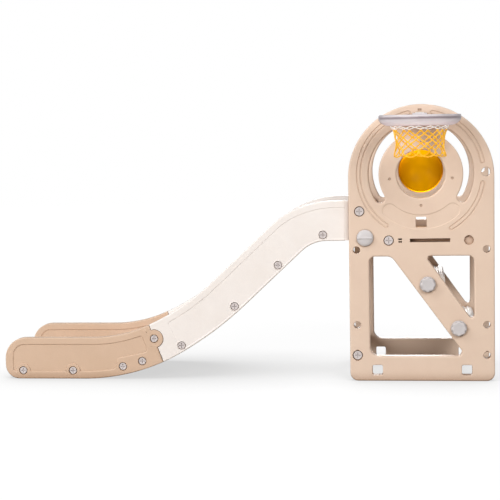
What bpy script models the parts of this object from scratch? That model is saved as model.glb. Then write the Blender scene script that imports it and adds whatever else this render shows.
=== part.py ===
"""Toddler climb-and-slide: two arched side panels with a deck and two climbing treads between them,
a two-part slide hooked onto the deck, a throwing hoop with its net, and an amber bubble window.

Metres, +Z up, +X from the slide's foot towards the tower, the panel with the hoop at -Y.
The pieces are laid out in a tower frame: x = 0 on the tower's middle, y = 0 on the hoop panel's
outer face, z = 0 on the floor. One empty then carries them all, so that the world origin lies
under the middle of the whole object.
"""

import math

import bmesh
import bpy
from mathutils import Matrix, Vector

# Clearances
GAP = 0.0003
SHAFT_CLEARANCE = 0.0005
CUT_OVER = 0.010
SLOT_CORNER_RADIUS = 0.002

# Tower
TOWER_HEIGHT = 0.960
TOWER_LENGTH = 0.500
TOWER_WIDTH = 0.451
PANEL_THICKNESS = 0.038
PANEL_EDGE_RADIUS = 0.005
PANEL_FOOT_RADIUS = 0.028

# Rings and slots in the arched head of each side panel
RING_DROP = 0.240
PORTHOLE_RADIUS = 0.0835
GRIP_INNER_RADIUS = 0.145
GRIP_OUTER_RADIUS = 0.180
GRIP_LOW_ANGLE = -30.0
GRIP_HIGH_ANGLE = 54.0
BAND_INNER_RADIUS = 0.205
BAND_OUTER_RADIUS = 0.222
BAND_DEPTH = 0.002
BAND_ARCS = ((101.0, 236.0), (11.0, 79.0), (-61.0, -9.0))
BADGE_INNER_RADIUS = 0.141
BADGE_OUTER_RADIUS = 0.190
BADGE_HALF_ANGLE = 41.0
BADGE_DEPTH = 0.0015
SIDE_HOLE_RADIUS = 0.0155
SIDE_HOLE_INSET = 0.0285
SIDE_HOLE_LIFT = 0.005
WINDOW_SLOT_WIDTH = 0.038
WINDOW_SLOT_HEIGHT = 0.036
WINDOW_SLOT_DROP = 0.165

# Openings under the deck
OPENING_DROP = 0.0555
HIGH_OPENING_DROP = 0.0545
OPENING_BOTTOM_Z = 0.087
OPENING_INSET = 0.070
LOW_OPENING_TOP_X = -0.104
LOW_OPENING_FOOT_X = 0.151
HIGH_OPENING_TOP_X = 0.013
HIGH_OPENING_FOOT_Z = 0.2002
OPENING_RADIUS = 0.020
OPENING_FOOT_RADIUS = 0.030
OPENING_TIP_RADIUS = 0.0145
HIGH_TIP_RADIUS = 0.010

# Small holes in the panels
COLUMN_HOLE_INSET = 0.0265
COLUMN_HOLE_RADIUS = 0.0122
COLUMN_HIGH_DROP = 0.0325
COLUMN_LOW_Z = 0.1965
COLUMN_FOOT_Z = 0.090
STAKE_HOLE_INSET = 0.0955
STAKE_HOLE_Z = 0.038
STAKE_HOLE_SIDE = 0.036
STAKE_HOLE_RADIUS = 0.006
SPARE_RECESS_INSET = 0.087
SPARE_RECESS_RADIUS = 0.016
SPARE_RECESS_DEPTH = 0.010
BELT_SLOT_X = -0.0725
BELT_SLOT_WIDTH = 0.013
BELT_SLOT_HEIGHT = 0.0055
BELT_SLOT_BAR = 0.0035

# Deck
DECK_DROP = 0.4685
DECK_THICKNESS = 0.040
DECK_FRONT_INSET = 0.090
DECK_BACK_INSET = 0.006
DECK_CORNER_RADIUS = 0.008
DECK_TAB_FRONT_X = -0.039
DECK_TAB_BACK_X = 0.099
DECK_TAB_THICKNESS = 0.012
DECK_TAB_REACH = 0.012
DECK_GROOVE_WIDTH = 0.014
DECK_GROOVE_DEPTH = 0.010
DECK_GROOVE_INSET = 0.026

# Cross bar at the foot of the slide side
CROSS_BAR_WIDTH = 0.036
CROSS_BAR_HEIGHT = 0.044
CROSS_BAR_RADIUS = 0.008

# Treads
LOWER_TREAD_Z = 0.1845
UPPER_TREAD_SHARE = 0.466
LOWER_TREAD_SHARE = 0.424
TREAD_FRONT = 0.060
TREAD_BACK = 0.040
TREAD_RISE = 0.023
TREAD_DROP = 0.021
TREAD_RADIUS = 0.009
TREAD_RIB_COUNT = 5
TREAD_RIB_HEIGHT = 0.003
TREAD_STUD_RADIUS = 0.013
TREAD_STUD_REACH = 0.011
NUT_RADIUS = 0.0245
NUT_LOBES = 8
NUT_LOBE_DEPTH = 0.0014
NUT_HEIGHT = 0.016
NUT_FLANGE_RADIUS = 0.0275
NUT_FLANGE_HEIGHT = 0.003

# Slide, seen from the side
SLIDE_ANGLE = 42.9
RAIL_DEPTH = 0.1405
RAIL_FOOT_HEIGHT = 0.149
RAIL_HEAD_DROP = 0.0015
RAIL_HEAD_HEIGHT = 0.141
UNDER_FOOT_RADIUS = 0.724
UNDER_FOOT_ANGLE = 30.0
UNDER_MIDDLE_RADIUS = 1.270
UNDER_HEAD_RADIUS = 0.127
OVER_FOOT_RADIUS = 0.4865
OVER_FOOT_ANGLE = 23.0
OVER_MIDDLE_RADIUS = 0.850
OVER_HEAD_RADIUS = 0.249
OVER_HEAD_ANGLE = 14.6
OVER_SHOULDER_RADIUS = 0.363
HEAD_RUN = 0.0625
FOOT_RUN = 0.289
RAIL_FOOT_TOP_RADIUS = 0.075
RAIL_FOOT_LOW_RADIUS = 0.050
RAIL_TO_TOWER = 0.016

# Slide, across
RAIL_SETBACK = 0.024
RAIL_THICKNESS = 0.030
RAIL_EDGE_RADIUS = 0.004
BED_LIFT = 0.006
BED_THICKNESS = 0.034
BED_FOOT_SETBACK = 0.012
BED_NOSE_RADIUS = 0.024
BED_NOSE_LOW_RADIUS = 0.0085
NECK_INSET = 0.034

# Joint between the lower and the upper part of the slide
JOINT_UNDER_RUN = 0.291
JOINT_OVER_RUN = 0.206
JOINT_TAB_RADIUS = 0.0325
JOINT_TAB_THICKNESS = 0.014
JOINT_TAB_PLACE = 0.37

# Tongue of each upper rail, between the side panels
TONGUE_REACH = 0.085
TONGUE_RADIUS = 0.030
TONGUE_INSET = 0.0015
TONGUE_LUG_DROP = 0.020
LIP_REACH = 0.040
LIP_RADIUS = 0.010
HOOK_RIB_WIDTH = 0.012
HOOK_RIB_DROP = 0.008

# Screws
RAIL_SCREW_HEAD_RADIUS = 0.0135
RAIL_SCREW_HEAD = 0.005
RAIL_SCREW_SHANK_RADIUS = 0.0050
RAIL_SCREW_LENGTH = 0.048
LOWER_SCREW_LIFT = 0.030
UPPER_SCREW_LIFT = 0.022
LOWER_RAIL_SCREW_RUNS = (-0.224, -0.040, 0.150, 0.224)
UPPER_RAIL_SCREW_SHARES = (0.134, 0.467, 0.733, 0.981)
PANEL_SCREW_HEAD_RADIUS = 0.0160
PANEL_SCREW_HEAD = 0.006
PANEL_SCREW_SHANK_RADIUS = 0.0065
PANEL_SCREW_LENGTH = 0.062
TONGUE_SCREW_SHORT = 0.002
TONGUE_SCREW_INSET = 0.0375
TONGUE_SCREW_LIFT = 0.1035
DECK_SCREW_INSET = 0.048
SCREW_RECESS = 0.001
SCREW_SLOT_WIDTH = 0.0022
SCREW_SLOT_DEPTH = 0.0016
SCREW_SLOT_SHARE = 0.62

# Lock knobs
LOCK_INSET = 0.0565
LOCK_LIFT = 0.0115
KNOB_RADIUS = 0.029
KNOB_HEIGHT = 0.012
KNOB_DOME = ((0.35, 1.0), (0.62, 0.93), (0.82, 0.76), (0.94, 0.5), (1.0, 0.2))
KNOB_RIDGE_REACH = 0.025
KNOB_RIDGE_WIDTH = 0.008
KNOB_RIDGE_HEIGHT = 0.018
LOCK_SHAFT_RADIUS = 0.011
LOCK_NECK_RADIUS = 0.0062
LOCK_BAR_HALF_LENGTH = 0.022
LOCK_BAR_WIDTH = 0.013
LOCK_BAR_THICKNESS = 0.009
LOCK_BAR_BORE_RADIUS = 0.0045
LOCK_SLOT_CLEARANCE = 0.001
END_ROUNDING = 0.96

# Hoop, its hook and its net
HOOP_DROP = 0.0375
HOOP_X = -0.002
HOOP_RADIUS = 0.1375
HOOP_MOUTH_RADIUS = 0.0925
HOOP_DEPTH = 0.0365
HOOP_WALL = 0.004
HOOP_STANDOFF = 0.006
HOOP_BLOCK_WIDTH = 0.046
HOOP_BLOCK_HEIGHT = 0.018
HOOP_BLOCK_REACH = 0.012
HOOP_BLOCK_DROP = 0.003
HOOP_SECTION = ((0.001, 0.0), (0.0, 0.013), (0.005, 0.0235), (0.018, 0.0325))
HOOP_FLOOR_INSET = 0.033
HOOP_BOSS_RADIUS = 0.008
HOOP_BOSS_HEIGHT = 0.002
HOOP_BOSS_LIFT = 0.004
HOOK_PLATE_WIDTH = 0.050
HOOK_PLATE_THICKNESS = 0.004
HOOK_PLATE_TOP = 0.0075
HOOK_PLATE_HEIGHT = 0.037
HOOK_TAB_WIDTH = 0.029
HOOK_TAB_HEIGHT = 0.024
HOOK_LIP_DROP = 0.0045
HOOK_LIP_THICKNESS = 0.005
HOOK_SLOT_WIDTH = 0.0315
HOOK_SLOT_SPARE = 0.006
HOOK_MARK_WIDTH = 0.012
HOOK_MARK_HEIGHT = 0.0065
HOOP_SCREW_RADIUS = 0.0025
HOOP_SCREW_HEAD_RADIUS = 0.0045
HOOP_SCREW_HEAD = 0.003
NET_LOOPS = 9
NET_TURN = -22.5
NET_TOP_RADIUS = 0.0885
NET_WAIST_RADIUS = 0.0800
NET_HEM_RADIUS = 0.0850
NET_TOP_DROP = 0.052
NET_ROW_DROPS = (0.023, 0.044, 0.065, 0.087)
NET_CORD = 0.0046
TIE_RADIUS = 0.0014
TIE_PEAK_RADIUS = 0.097

# Bubble window on the far panel
BUBBLE_DEPTH = 0.045
BUBBLE_WALL = 0.003
BUBBLE_PLUG_DEPTH = 0.008
BUBBLE_CROWN_SHARE = 0.03
BUBBLE_FLANGE_RADIUS = 0.119
BUBBLE_FLANGE = 0.004
BUBBLE_SCREW_CIRCLE = 0.108
BUBBLE_SCREW_TILT = -8.0
PILOT_RADIUS = 0.0045
PILOT_DEPTH = 0.010
BUBBLE_SCREW_HEAD_RADIUS = 0.0050
BUBBLE_SCREW_HEAD = 0.003
BUBBLE_SCREW_SHANK_RADIUS = 0.0022

# Segments of round pieces
ARCH_STEPS = 24
PORTHOLE_STEPS = 24
HOOP_STEPS = 24
KNOB_STEPS = 16
HOLE_STEPS = 10
DOME_STEPS = 3
BAND_STEP_ANGLE = 14.0
CORNER_STEPS = 3
SMALL_CORNER_STEPS = 2
SMALL_CORNER_RADIUS = 0.009

# Derived places
HALF_LENGTH = TOWER_LENGTH / 2
ARCH_CENTRE_Z = TOWER_HEIGHT - HALF_LENGTH
RING_Z = TOWER_HEIGHT - RING_DROP
DECK_Z = TOWER_HEIGHT - DECK_DROP
INNER_Y = PANEL_THICKNESS
OPENING_TOP_Z = DECK_Z - OPENING_DROP
HIGH_OPENING_TOP_Z = DECK_Z - HIGH_OPENING_DROP
OPENING_HALF_LENGTH = HALF_LENGTH - OPENING_INSET
COLUMN_HOLE_X = HALF_LENGTH - COLUMN_HOLE_INSET
COLUMN_HIGH_Z = DECK_Z - COLUMN_HIGH_DROP
STAKE_HOLE_X = HALF_LENGTH - STAKE_HOLE_INSET
SPARE_RECESS_X = HALF_LENGTH - SPARE_RECESS_INSET
SIDE_HOLE_X = HALF_LENGTH - SIDE_HOLE_INSET
DECK_TOP_Z = DECK_Z + DECK_THICKNESS / 2
DECK_FRONT_X = -HALF_LENGTH + DECK_FRONT_INSET
DECK_BACK_X = HALF_LENGTH - DECK_BACK_INSET
DECK_GROOVE_X = DECK_FRONT_X + DECK_GROOVE_INSET
DECK_SCREW_X = DECK_FRONT_X + DECK_SCREW_INSET
RAIL_HEAD_Z = DECK_Z - RAIL_HEAD_DROP
RAIL_INNER_Y = RAIL_SETBACK + RAIL_THICKNESS
HEAD_END_X = -HALF_LENGTH - RAIL_TO_TOWER
TONGUE_END_X = -HALF_LENGTH + TONGUE_REACH
TONGUE_SCREW_X = -HALF_LENGTH + TONGUE_SCREW_INSET
TONGUE_SCREW_Z = RAIL_HEAD_Z + TONGUE_SCREW_LIFT
LOCK_X = -HALF_LENGTH + LOCK_INSET
LOCK_Z = RAIL_HEAD_Z + LOCK_LIFT
LOCK_BAR_Y = RAIL_INNER_Y + 2 * GAP
HOOP_TOP_Z = TOWER_HEIGHT - HOOP_DROP
HOOP_Y = -HOOP_STANDOFF - HOOP_RADIUS
HOOP_SCREW_Z = HOOP_TOP_Z - HOOP_BLOCK_DROP - HOOP_BLOCK_HEIGHT / 2
HOOK_TOP_Z = HOOP_TOP_Z + HOOK_PLATE_TOP

root = None


def clear_scene():
    for obj in list(bpy.data.objects):
        bpy.data.objects.remove(obj)


def linear(value):
    share = value / 255
    if share <= 0.04045:
        return share / 12.92
    return ((share + 0.055) / 1.055) ** 2.4


def material(name, red, green, blue, roughness, alpha=1.0):
    mat = bpy.data.materials.new(name)
    mat.use_nodes = True
    shader = mat.node_tree.nodes["Principled BSDF"]
    colour = (linear(red), linear(green), linear(blue), 1.0)
    shader.inputs["Base Color"].default_value = colour
    shader.inputs["Roughness"].default_value = roughness
    shader.inputs["Metallic"].default_value = 0.0
    shader.inputs["Alpha"].default_value = alpha
    mat.diffuse_color = (colour[0], colour[1], colour[2], alpha)
    return mat


def polar(radius, angle, centre=(0.0, 0.0)):
    turn = math.radians(angle)
    return (centre[0] + radius * math.cos(turn), centre[1] + radius * math.sin(turn))


def arc(centre, radius, start, end, steps):
    return [polar(radius, start + (end - start) * i / steps, centre) for i in range(steps + 1)]


def circle(centre, radius, steps=HOLE_STEPS):
    return [polar(radius, 360 * (i + 0.5) / steps, centre) for i in range(steps)]


def rounded(corners):
    """Outline through (x, z, radius) corners, each corner turned into an arc of its radius."""
    outline = []
    for i, (x, z, radius) in enumerate(corners):
        here = Vector((x, z))
        before = (Vector(corners[i - 1][:2]) - here).normalized()
        after = (Vector(corners[(i + 1) % len(corners)][:2]) - here).normalized()
        if radius <= 0:
            outline.append((x, z))
            continue
        half = before.angle(after) / 2
        centre = here + (before + after).normalized() * (radius / math.sin(half))
        first = here + before * (radius / math.tan(half)) - centre
        last = here + after * (radius / math.tan(half)) - centre
        turn = first.angle_signed(last)
        steps = CORNER_STEPS if radius > SMALL_CORNER_RADIUS else SMALL_CORNER_STEPS
        for step in range(steps + 1):
            spot = first.copy()
            spot.rotate(Matrix.Rotation(-turn * step / steps, 2))
            outline.append(tuple(centre + spot))
    return outline


def rectangle(x0, x1, z0, z1, radius=0.0):
    return rounded([(x0, z0, radius), (x1, z0, radius), (x1, z1, radius), (x0, z1, radius)])


def ring_band(centre, inner, outer, start, end):
    """Band between two radii with half-round ends."""
    steps = round((end - start) / BAND_STEP_ANGLE)
    middle = (inner + outer) / 2
    half = (outer - inner) / 2
    outline = arc(centre, outer, start, end, steps)
    outline += arc(polar(middle, end, centre), half, end, end + 180, CORNER_STEPS)[1:-1]
    outline += arc(centre, inner, end, start, steps)
    outline += arc(polar(middle, start, centre), half, start + 180, start + 360, CORNER_STEPS)[1:-1]
    return outline


def add_object(name, mesh, mat):
    mesh.name = name
    obj = bpy.data.objects.new(name, mesh)
    bpy.context.scene.collection.objects.link(obj)
    mesh.materials.clear()
    if mat:
        mesh.materials.append(mat)
    obj.parent = root
    return obj


def smooth(mesh, angle=35.0):
    mesh.shade_smooth()
    mesh.set_sharp_from_angle(angle=math.radians(angle))


def evaluated_mesh(obj):
    graph = bpy.context.evaluated_depsgraph_get()
    return bpy.data.meshes.new_from_object(obj.evaluated_get(graph))


def plate_mesh(loops, y0, y1, edge):
    """Flat piece from side-view loops, the first its outline and the others holes, edges rounded."""
    flat = bpy.data.curves.new("plate", "CURVE")
    flat.dimensions = "2D"
    flat.fill_mode = "BOTH"
    flat.extrude = (y1 - y0) / 2 - edge
    flat.bevel_depth = edge
    flat.bevel_resolution = 0
    flat.offset = -edge
    for loop in loops:
        spline = flat.splines.new("POLY")
        spline.points.add(len(loop) - 1)
        for point, (x, z) in zip(spline.points, loop):
            point.co = (x, z, 0.0, 1.0)
        spline.use_cyclic_u = True
    holder = bpy.data.objects.new("plate", flat)
    bpy.context.scene.collection.objects.link(holder)
    mesh = evaluated_mesh(holder)
    bpy.data.objects.remove(holder)
    shape = bmesh.new()
    shape.from_mesh(mesh)
    bmesh.ops.remove_doubles(shape, verts=shape.verts, dist=0.00001)
    stand = Matrix.Translation((0.0, (y0 + y1) / 2, 0.0)) @ Matrix.Rotation(math.pi / 2, 4, "X")
    bmesh.ops.transform(shape, matrix=stand, verts=shape.verts)
    shape.to_mesh(mesh)
    shape.free()
    smooth(mesh)
    return mesh


def add_prism(shape, loop, y0, y1):
    """Add a straight prism with the side-view outline loop, from y0 to y1, to a bmesh."""
    verts = [shape.verts.new((x, y0, z)) for x, z in loop]
    face = shape.faces.new(verts)
    made = bmesh.ops.extrude_face_region(shape, geom=[face])
    moved = [item for item in made["geom"] if isinstance(item, bmesh.types.BMVert)]
    bmesh.ops.translate(shape, verts=moved, vec=(0.0, y1 - y0, 0.0))


def prisms_mesh(parts):
    """Mesh of separate prisms, each given as (loop, y0, y1)."""
    shape = bmesh.new()
    for loop, y0, y1 in parts:
        add_prism(shape, loop, y0, y1)
    bmesh.ops.recalc_face_normals(shape, faces=shape.faces)
    mesh = bpy.data.meshes.new("prisms")
    shape.to_mesh(mesh)
    shape.free()
    return mesh


def turned_mesh(profile, steps, lobe_depth=0.0, closed=False):
    """Body turned about +Y through (radius, y, lobed) rings; closed joins the last ring to the first.

    Every other point of a lobed ring stands out by lobe_depth and the rest stand in.
    """
    shape = bmesh.new()
    rings = []
    for radius, y, lobed in profile:
        ring = []
        for i in range(steps):
            turn = 2 * math.pi * (i + 0.5) / steps
            reach = radius
            if lobed:
                reach += lobe_depth * (-1) ** i
            ring.append(shape.verts.new((reach * math.cos(turn), y, reach * math.sin(turn))))
        rings.append(ring)
    pairs = list(zip(rings, rings[1:]))
    if closed:
        pairs.append((rings[-1], rings[0]))
    else:
        shape.faces.new(rings[0])
        shape.faces.new(rings[-1])
    for low, high in pairs:
        for i in range(steps):
            j = (i + 1) % steps
            shape.faces.new((low[i], low[j], high[j], high[i]))
    bmesh.ops.recalc_face_normals(shape, faces=shape.faces)
    mesh = bpy.data.meshes.new("turned")
    shape.to_mesh(mesh)
    shape.free()
    smooth(mesh)
    return mesh


def cutter(name, mesh):
    obj = add_object(name, mesh, None)
    obj.hide_render = True
    obj.display_type = "WIRE"
    return obj


def boolean(obj, operation, other):
    """Cut or join with a body modelled in the object's own frame."""
    other.parent = obj
    modifier = obj.modifiers.new(operation.lower(), "BOOLEAN")
    modifier.operation = operation
    modifier.solver = "EXACT"
    modifier.use_self = True
    modifier.object = other


def cut(obj, name, parts):
    boolean(obj, "DIFFERENCE", cutter(name, prisms_mesh(parts)))


def join(obj, name, mesh):
    boolean(obj, "UNION", cutter(name, mesh))


def mirrored_y(side, y):
    """y measured from the outer face of the near (-1) or the far (+1) side panel."""
    return y if side < 0 else TOWER_WIDTH - y


def span(side, y0, y1):
    first = mirrored_y(side, y0)
    second = mirrored_y(side, y1)
    return min(first, second), max(first, second)


def slab(side, loop, y0, y1):
    """Prism of a side-view outline between two depths from a side panel's outer face."""
    low, high = span(side, y0, y1)
    return loop, low, high


def turned(side, loop):
    """Outline of a piece modelled at the near side, or turned round to stand at the far side."""
    return loop if side < 0 else [(-x, z) for x, z in reversed(loop)]


def place_on_side(obj, side, x=0.0, z=0.0, y=0.0):
    """Stand a piece modelled for the near side at either side, y in from the panel's outer face."""
    obj.location = (x, mirrored_y(side, y), z)
    if side > 0:
        obj.rotation_euler = (0.0, 0.0, math.pi)


# The slide's side view

class Edge:
    """Long edge of a rail: flat foot, two hollow arcs, the slope, two crowned arcs, flat head.

    Points are (x, z, angle of the edge); x = 0 is where the first arc starts.
    """

    def __init__(self, foot_z, head_z, foot_arcs, head_arcs):
        slope = math.radians(SLIDE_ANGLE)
        self.points = [(-FOOT_RUN, foot_z, 0.0), (0.0, foot_z, 0.0)]
        angle = 0.0
        for radius, turn in foot_arcs:
            self.bend(radius, angle, angle + math.radians(turn))
            angle += math.radians(turn)
        drop = 0.0
        head_angle = slope
        for radius, turn in head_arcs:
            after = head_angle - math.radians(turn)
            drop += radius * (math.cos(after) - math.cos(head_angle))
            head_angle = after
        x, z, _ = self.points[-1]
        length = (head_z - drop - z) / math.sin(slope)
        self.slope_start = (x, z)
        self.points.append((x + length * math.cos(slope), z + length * math.sin(slope), slope))
        angle = slope
        for radius, turn in head_arcs:
            self.bend(-radius, angle, angle - math.radians(turn))
            angle -= math.radians(turn)

    def bend(self, radius, start, end):
        """Arc from one edge angle to another; a negative radius turns downwards."""
        x, z, _ = self.points[-1]
        steps = max(3, round(abs(end - start) * 13))
        for i in range(1, steps + 1):
            angle = start + (end - start) * i / steps
            across = radius * (math.sin(angle) - math.sin(start))
            rise = radius * (math.cos(start) - math.cos(angle))
            self.points.append((x + across, z + rise, angle))

    def shift(self, distance):
        self.points = [(x + distance, z, angle) for x, z, angle in self.points]
        self.slope_start = (self.slope_start[0] + distance, self.slope_start[1])

    def offset(self, distance):
        """Points of the line that runs at this distance above the edge."""
        return [
            (x - distance * math.sin(angle), z + distance * math.cos(angle))
            for x, z, angle in self.points
        ]


def at_x(line, x):
    """Point of a left-to-right line at x."""
    for (x0, z0), (x1, z1) in zip(line, line[1:]):
        if x0 <= x <= x1 and x1 > x0:
            return (x, z0 + (z1 - z0) * (x - x0) / (x1 - x0))
    raise ValueError("the line does not reach this x")


def before_x(line, x):
    return [point for point in line if point[0] < x - GAP] + [at_x(line, x)]


def after_x(line, x):
    return [at_x(line, x)] + [point for point in line if point[0] > x + GAP]


def slide_edges():
    under = Edge(
        0.0,
        RAIL_HEAD_Z,
        ((UNDER_FOOT_RADIUS, UNDER_FOOT_ANGLE), (UNDER_MIDDLE_RADIUS, SLIDE_ANGLE - UNDER_FOOT_ANGLE)),
        ((UNDER_HEAD_RADIUS, SLIDE_ANGLE),),
    )
    over = Edge(
        RAIL_FOOT_HEIGHT,
        RAIL_HEAD_Z + RAIL_HEAD_HEIGHT,
        ((OVER_FOOT_RADIUS, OVER_FOOT_ANGLE), (OVER_MIDDLE_RADIUS, SLIDE_ANGLE - OVER_FOOT_ANGLE)),
        ((OVER_HEAD_RADIUS, OVER_HEAD_ANGLE), (OVER_SHOULDER_RADIUS, SLIDE_ANGLE - OVER_HEAD_ANGLE)),
    )
    under.shift(HEAD_END_X - HEAD_RUN - under.points[-1][0])
    # The two slopes run side by side, RAIL_DEPTH apart.
    slope = math.radians(SLIDE_ANGLE)
    x, z = under.slope_start
    over_x, over_z = over.slope_start
    line_x = x + ((over_z - z) - RAIL_DEPTH / math.cos(slope)) / math.tan(slope)
    over.shift(line_x - over_x)
    return under, over


def edge_spot(edge, run, lift):
    """Point at this height above an edge, square to it, where run is measured along the floor."""
    start_x = edge.points[1][0]
    for (x0, z0, a0), (x1, z1, a1) in zip(edge.points, edge.points[1:]):
        if x0 <= start_x + run <= x1:
            share = (start_x + run - x0) / (x1 - x0)
            angle = a0 + (a1 - a0) * share
            x = x0 + (x1 - x0) * share - lift * math.sin(angle)
            return (x, z0 + (z1 - z0) * share + lift * math.cos(angle))
    raise ValueError("the edge does not reach this run")


def joint_line(under, over):
    """Lower and upper end of the joint between the two parts of a rail."""
    low_x = under.points[1][0] + JOINT_UNDER_RUN
    high_x = over.points[1][0] + JOINT_OVER_RUN
    return at_x(under.offset(0.0), low_x), at_x(over.offset(0.0), high_x)


def joint_tab_centre(under, over):
    low, high = joint_line(under, over)
    share = JOINT_TAB_PLACE
    return (high[0] + (low[0] - high[0]) * share, high[1] + (low[1] - high[1]) * share)


# Side panels

def band_loops():
    """Shallow bands round the head of a panel, left whole and right in two pieces."""
    centre = (0.0, RING_Z)
    return [
        ring_band(centre, BAND_INNER_RADIUS, BAND_OUTER_RADIUS, start, end)
        for start, end in BAND_ARCS
    ]


def opening_loops():
    """The slanted opening under the steps and the tall corner opening above them."""
    low = rounded([
        (-OPENING_HALF_LENGTH, OPENING_BOTTOM_Z, OPENING_FOOT_RADIUS),
        (LOW_OPENING_FOOT_X, OPENING_BOTTOM_Z, OPENING_TIP_RADIUS),
        (LOW_OPENING_TOP_X, OPENING_TOP_Z, OPENING_FOOT_RADIUS),
        (-OPENING_HALF_LENGTH, OPENING_TOP_Z, OPENING_RADIUS),
    ])
    high = rounded([
        (OPENING_HALF_LENGTH, HIGH_OPENING_FOOT_Z, HIGH_TIP_RADIUS),
        (OPENING_HALF_LENGTH, HIGH_OPENING_TOP_Z, OPENING_RADIUS),
        (HIGH_OPENING_TOP_X, HIGH_OPENING_TOP_Z, HIGH_TIP_RADIUS),
    ])
    return [low, high]


def tread_places():
    """Upper and lower tread: the upper one halfway up to the deck, both on the slanted strut."""
    low_height = OPENING_TOP_Z - OPENING_BOTTOM_Z
    low_lean = (LOW_OPENING_FOOT_X - LOW_OPENING_TOP_X) / low_height
    high_height = HIGH_OPENING_TOP_Z - HIGH_OPENING_FOOT_Z
    high_lean = (OPENING_HALF_LENGTH - HIGH_OPENING_TOP_X) / high_height
    places = []
    for z, share in (
        ((LOWER_TREAD_Z + DECK_Z) / 2, UPPER_TREAD_SHARE),
        (LOWER_TREAD_Z, LOWER_TREAD_SHARE),
    ):
        front = LOW_OPENING_TOP_X + (OPENING_TOP_Z - z) * low_lean
        back = HIGH_OPENING_TOP_X + (HIGH_OPENING_TOP_Z - z) * high_lean
        places.append((front + (back - front) * share, z))
    return places


def panel_loops():
    outline = rounded([
        (-HALF_LENGTH, 0.0, PANEL_FOOT_RADIUS),
        (HALF_LENGTH, 0.0, PANEL_FOOT_RADIUS),
        (HALF_LENGTH, ARCH_CENTRE_Z, 0.0),
        (-HALF_LENGTH, ARCH_CENTRE_Z, 0.0),
    ])[:-2]
    outline += arc((0.0, ARCH_CENTRE_Z), HALF_LENGTH, 0.0, 180.0, ARCH_STEPS)
    ring = (0.0, RING_Z)
    grips = [
        ring_band(ring, GRIP_INNER_RADIUS, GRIP_OUTER_RADIUS, start, end)
        for start, end in (
            (GRIP_LOW_ANGLE, GRIP_HIGH_ANGLE),
            (180.0 - GRIP_HIGH_ANGLE, 180.0 - GRIP_LOW_ANGLE),
        )
    ]
    porthole = circle(ring, PORTHOLE_RADIUS, PORTHOLE_STEPS)
    return [outline] + opening_loops() + [porthole] + grips


def hook_slot_box():
    """x and z limits of the hoop's slot in a panel."""
    low = HOOK_TOP_Z - HOOK_TAB_HEIGHT - GAP
    high = HOOK_TOP_Z + HOOK_SLOT_SPARE
    return HOOP_X - HOOK_SLOT_WIDTH / 2, HOOP_X + HOOK_SLOT_WIDTH / 2, low, high


def panel_screw_places():
    """Centre of each panel screw: in the slide's tongue, in the deck and in the cross bar."""
    return (
        (TONGUE_SCREW_X, TONGUE_SCREW_Z),
        (DECK_SCREW_X, DECK_Z),
        (-COLUMN_HOLE_X, COLUMN_FOOT_Z),
    )


def bubble_screw_places():
    tilt = BUBBLE_SCREW_TILT
    angles = (tilt, 90.0, 180.0 - tilt, 270.0)
    return [polar(BUBBLE_SCREW_CIRCLE, angle, (0.0, RING_Z)) for angle in angles]


def through_loops():
    """Side-view loops of everything small that passes right through a panel."""
    loops = []
    for place in panel_screw_places():
        loops.append(circle(place, PANEL_SCREW_SHANK_RADIUS + SHAFT_CLEARANCE))
    for x, z in (
        (-COLUMN_HOLE_X, COLUMN_HIGH_Z),
        (-COLUMN_HOLE_X, COLUMN_LOW_Z),
        (COLUMN_HOLE_X, COLUMN_HIGH_Z),
        (COLUMN_HOLE_X, COLUMN_LOW_Z),
        (COLUMN_HOLE_X, COLUMN_FOOT_Z),
    ):
        loops.append(circle((x, z), COLUMN_HOLE_RADIUS))
    loops.append(circle((SIDE_HOLE_X, RING_Z + SIDE_HOLE_LIFT), SIDE_HOLE_RADIUS))
    loops.append(circle((LOCK_X, LOCK_Z), LOCK_SHAFT_RADIUS + SHAFT_CLEARANCE, KNOB_STEPS))
    for place in tread_places():
        loops.append(circle(place, TREAD_STUD_RADIUS + SHAFT_CLEARANCE, 2 * NUT_LOBES))
    half = STAKE_HOLE_SIDE / 2
    low, high = STAKE_HOLE_Z - half, STAKE_HOLE_Z + half
    for x in (-STAKE_HOLE_X, STAKE_HOLE_X):
        loops.append(rectangle(x - half, x + half, low, high, STAKE_HOLE_RADIUS))
    half = WINDOW_SLOT_WIDTH / 2
    low = RING_Z - WINDOW_SLOT_DROP - WINDOW_SLOT_HEIGHT / 2
    loops.append(rectangle(-half, half, low, low + WINDOW_SLOT_HEIGHT))
    half = DECK_TAB_THICKNESS / 2 + GAP
    low, high = DECK_Z - half, DECK_Z + half
    loops.append(rectangle(DECK_TAB_FRONT_X, DECK_TAB_BACK_X, low, high, SLOT_CORNER_RADIUS))
    left = BELT_SLOT_X - BELT_SLOT_WIDTH / 2
    for step in (-1, 1):
        middle = DECK_Z + step * (BELT_SLOT_BAR + BELT_SLOT_HEIGHT) / 2
        low = middle - BELT_SLOT_HEIGHT / 2
        loops.append(rectangle(left, left + BELT_SLOT_WIDTH, low, low + BELT_SLOT_HEIGHT))
    loops.append(rectangle(*hook_slot_box()))
    return loops


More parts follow.
